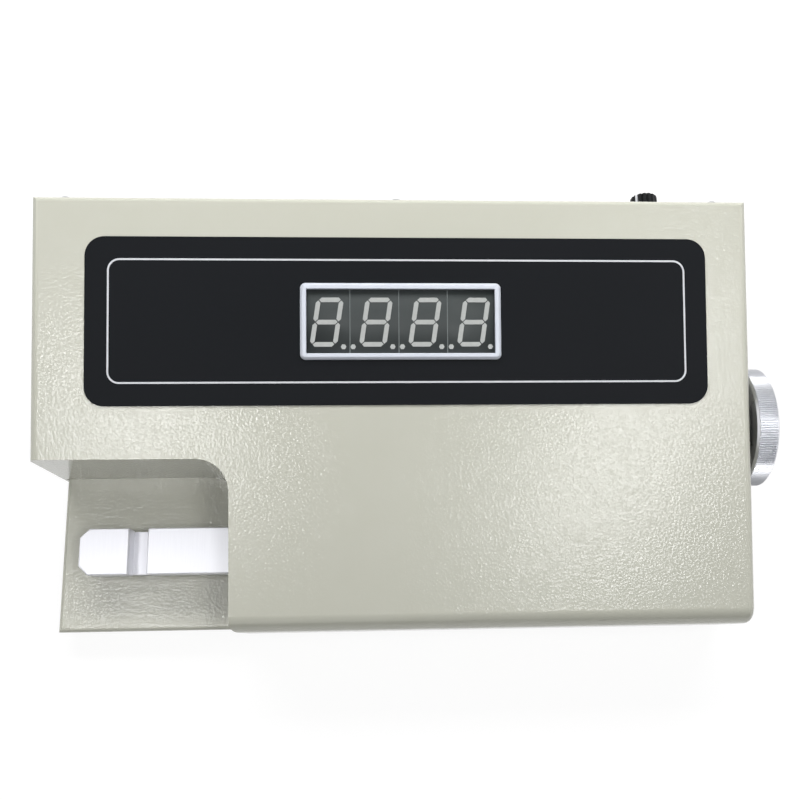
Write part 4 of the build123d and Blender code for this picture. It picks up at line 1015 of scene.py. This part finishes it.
# Stamped tinplate: grey silver with a faint spangle from the tin's crystals.
pot_metal, tree, place = start_finish("stamped_tinplate")
spangle = add_node(tree, "ShaderNodeTexVoronoi", {}, {"Vector": place, "Scale": 1 / (2.5 * MM)})
tin = add_node(tree, "ShaderNodeMix", {"data_type": "RGBA"},
               {0: spangle.outputs["Distance"], 6: linear("#A9AAA6"), 7: linear("#BDBEBA")})
rough = add_node(tree, "ShaderNodeMapRange", {},
                 {"Value": spangle.outputs["Distance"], "To Min": 0.28, "To Max": 0.42})
end_finish(tree, add_node(tree, "ShaderNodeBsdfPrincipled", {},
                          {"Base Color": tin.outputs[2], "Metallic": 1.0, "Roughness": rough.outputs[0]}))
dress("zero_pot", pot_metal, 0.3 * MM, sharp=50.0)
dress("pot_shaft", ground_steel, 0.3 * MM, sharp=50.0)

# ---- Screws, studs and washers --------------------------------------------------------------------
# Pan head machine screws with a cross recess, in zinc-plated steel. Each was
# stopped at its own angle.

# Zinc plate: grey silver, with a fine bluish bloom that dulls it in places.
zinc_plate, tree, place = start_finish("zinc_plated_steel")
bloom = add_node(tree, "ShaderNodeTexNoise", {}, {"Vector": place, "Scale": 1 / (1.5 * MM), "Detail": 4.0})
zinc = add_node(tree, "ShaderNodeMix", {"data_type": "RGBA"},
                {0: bloom.outputs[0], 6: linear("#B2B5B8"), 7: linear("#CBCDCC")})
rough = add_node(tree, "ShaderNodeMapRange", {}, {"Value": bloom.outputs[0], "To Min": 0.24, "To Max": 0.4})
relief = add_node(tree, "ShaderNodeBump", {},
                  {"Height": bloom.outputs[0], "Strength": 0.2, "Distance": 0.03 * MM})
end_finish(tree, add_node(tree, "ShaderNodeBsdfPrincipled", {},
                          {"Base Color": zinc.outputs[2], "Metallic": 1.0, "Roughness": rough.outputs[0],
                           "Normal": relief.outputs[0]}))
dress("wheel_washer", zinc_plate, 0.2 * MM, sharp=50.0)
dress("cell_bolt", zinc_plate, 0.3 * MM, sharp=50.0)
dress("pot_nut", zinc_plate, 0.2 * MM, sharp=50.0)
dress("transformer_strap", zinc_plate, 0.2 * MM, sharp=30.0)


def loose_solids(node):
    """The corners of each separate solid of a CAD node, in a fixed order."""
    form = bmesh.new()
    form.from_mesh(frame["nodes"][node].data)
    bmesh.ops.remove_doubles(form, verts=form.verts, dist=MERGE_WITHIN)
    left = set(form.verts)
    solids = []
    for first in form.verts:
        if first not in left:
            continue
        left.remove(first)
        found, edge_of = [first], [first]
        while edge_of:
            near = dict.fromkeys(edge.other_vert(vert) for vert in edge_of for edge in vert.link_edges)
            edge_of = [vert for vert in near if vert in left]
            left.difference_update(edge_of)
            found += edge_of
        solids.append([vert.co.copy() for vert in found])
    form.free()
    return solids


HEAD_SHARE = 0.9             # a corner further out than this share of the head's radius is the head's


def measured_screw(corners, axis):
    """Where a CAD screw's head stands; its head's radius and height, and its shank's radius and length."""
    flat = [corner - corner.dot(axis) * axis for corner in corners]
    low = Vector([min(spot[k] for spot in flat) for k in range(3)])
    high = Vector([max(spot[k] for spot in flat) for k in range(3)])
    centre = (low + high) / 2
    reach = [(spot - centre).length for spot in flat]
    heights = [corner.dot(axis) for corner in corners]
    wide = max(reach)
    seat = min(height for height, out in zip(heights, reach) if out > HEAD_SHARE * wide)
    shank = max(out for out in reach if out < HEAD_SHARE * wide)
    return centre + seat * axis, (wide, max(heights) - seat, shank, seat - min(heights))


HEAD_STEPS = 24
VEE_FLAT = 0.05              # a vee thread is almost sharp at its crest and root


def screw_mesh(name, head, high, shank, length, pitch):
    """A pan head screw along Z, its head standing on Z 0, with a cross recess and a thread."""
    upwards = Vector((0, 0, 1))
    pan = [(0, 0), (0, 0.97), (0.08, 1), (0.45, 1), (0.75, 0.93), (0.93, 0.78), (1, 0.5), (1, 0)]
    form = bmesh.new()
    lathe_turned(form, [(high * up, head * out) for up, out in pan], Vector(), upwards, HEAD_STEPS)
    body = bpy.data.objects.new(name + "_head", outward_mesh(form, name))
    scene.collection.objects.link(body)

    arm, half_wide = head * 0.55, head * 0.1
    cross = [(half_wide, half_wide), (half_wide, arm), (-half_wide, arm), (-half_wide, half_wide),
             (-arm, half_wide), (-arm, -half_wide), (-half_wide, -half_wide), (-half_wide, -arm),
             (half_wide, -arm), (half_wide, -half_wide), (arm, -half_wide), (arm, half_wide)]
    form = bmesh.new()
    top = [form.verts.new((x, y, high * 1.2)) for x, y in cross]
    bottom = [form.verts.new((x * 0.55, y * 0.9, high * 0.35)) for x, y in cross]
    form.faces.new(top)
    form.faces.new(bottom[::-1])
    for corner in range(len(cross)):
        after = (corner + 1) % len(cross)
        form.faces.new((top[corner], bottom[corner], bottom[after], top[after]))
    driver = bpy.data.objects.new(name + "_driver", outward_mesh(form, name + "_driver"))
    scene.collection.objects.link(driver)
    recess = body.modifiers.new("cross_recess", "BOOLEAN")
    recess.operation = "DIFFERENCE"
    recess.solver = "EXACT"
    recess.object = driver
    cut_head = applied(body, name + "_cut")
    bpy.data.objects.remove(driver)

    form = bmesh.new()
    form.from_mesh(cut_head.data)
    if length > pitch * 2:
        threaded(form, Vector((0, 0, -length)), upwards, length + 0.05 * MM, shank * 0.8, shank * 0.98,
                 pitch, HEAD_STEPS // 2, VEE_FLAT)
    form.to_mesh(cut_head.data)
    form.free()
    cut_head.data.set_sharp_from_angle(angle=math.radians(35))
    cut_head.name = name
    return cut_head


screw_tree, given, result = node_group("screws_at_their_holes", [
    ("Geometry", "NodeSocketGeometry"), ("Screw", "NodeSocketObject"), ("Seed", "NodeSocketInt"),
    ("Finish", "NodeSocketMaterial"),
])
axis_read = add_node(screw_tree, "GeometryNodeInputNamedAttribute", {"data_type": "FLOAT_VECTOR"},
                     {"Name": "axis"})
aligned = add_node(screw_tree, "FunctionNodeAlignRotationToVector", {"axis": "Z"},
                   {"Vector": axis_read.outputs[0]})
stop = add_node(screw_tree, "FunctionNodeRandomValue", {"data_type": "FLOAT"},
                {2: 0.0, 3: math.pi, "Seed": given.outputs["Seed"]})
spin = add_node(screw_tree, "FunctionNodeAxisAngleToRotation", {},
                {"Axis": (0, 0, 1), "Angle": stop.outputs[1]})
turned = add_node(screw_tree, "FunctionNodeRotateRotation", {"rotation_space": "LOCAL"},
                  {"Rotation": aligned.outputs[0], "Rotate By": spin.outputs[0]})
one = add_node(screw_tree, "GeometryNodeObjectInfo", {}, {"Object": given.outputs["Screw"]})
placed = add_node(screw_tree, "GeometryNodeInstanceOnPoints", {},
                  {"Points": given.outputs["Geometry"], "Instance": one.outputs["Geometry"],
                   "Rotation": turned.outputs[0]})
real = add_node(screw_tree, "GeometryNodeRealizeInstances", {}, {0: placed.outputs[0]})
plated = add_node(screw_tree, "GeometryNodeSetMaterial", {},
                  {0: real.outputs[0], "Material": given.outputs["Finish"]})
screw_tree.links.new(plated.outputs[0], result.inputs[0])

UP, DOWN = Vector((0, 0, 1)), Vector((0, 0, -1))
LEFT, RIGHT, BACK = Vector((-1, 0, 0)), Vector((1, 0, 0)), Vector((0, 1, 0))
under_face = -face_out
case_middle = (cad_box[0].x + cad_box[1].x) / 2
SIDE_SCREWS_BELOW = 30 * MM


def cover_side(middle):
    """The cover's screws go in from the rear, except those low on its sides."""
    if middle.z > SIDE_SCREWS_BELOW:
        return BACK
    return LEFT if middle.x < case_middle else RIGHT


# Which way the heads of each node's screws point, and their pitch in millimetres.
screw_kinds = {
    "cover_screws": (cover_side, 0.5), "panel_screws": (BACK, 0.5), "inlet_screws": (BACK, 0.5),
    "anvil_screws": (DOWN, 0.7), "arm_screws": (DOWN, 0.8), "end_plate_screws": (DOWN, 0.7),
    "guide_screws": (DOWN, 0.5), "board_screws": (UP, 0.5), "transformer_screws": (UP, 0.5),
    "display_screws": (under_face, 0.5), "nut_screws": (RIGHT, 0.5), "wheel_screw": (RIGHT, 0.7),
}
for seed, (node, (axis, pitch)) in enumerate(screw_kinds.items()):
    spots, axes, sizes = [], [], None
    for corners in loose_solids(node):
        middle = sum(corners, Vector()) / len(corners)
        way = axis(middle) if callable(axis) else axis
        seat, sizes = measured_screw(corners, way)
        spots.append(seat)
        axes.append(way)
    start = bpy.data.meshes.new(node + "_holes")
    start.from_pydata(spots, [], [])
    facing = start.attributes.new("axis", "FLOAT_VECTOR", "POINT")
    facing.data.foreach_set("vector", [number for way in axes for number in way])
    screw = screw_mesh(node + "_one", *sizes, pitch * MM)
    screws = grown(node + "_fitted", screw_tree, start, {"Screw": screw, "Seed": seed, "Finish": zinc_plate})
    bpy.data.objects.remove(screw)
    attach(screws, frame["nodes"][node]["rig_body"])
    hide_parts(node)

# The pusher's stud is threaded from end to end, with a 1 mm pitch.
STUD_ROOT = 2.5 * MM
STUD_CREST = 2.95 * MM
STUD_PITCH = 1.0 * MM
stud_low, stud_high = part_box("pusher_stud")
stud_line = (stud_low + stud_high) / 2
form = bmesh.new()
threaded(form, Vector((stud_low.x, stud_line.y, stud_line.z)), RIGHT, stud_high.x - stud_low.x,
         STUD_ROOT, STUD_CREST, STUD_PITCH, HEAD_STEPS, VEE_FLAT)
stud = finished("pusher_stud_threaded", form, zinc_plate, "carriage")
smoothed(stud, 35)
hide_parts("pusher_stud")
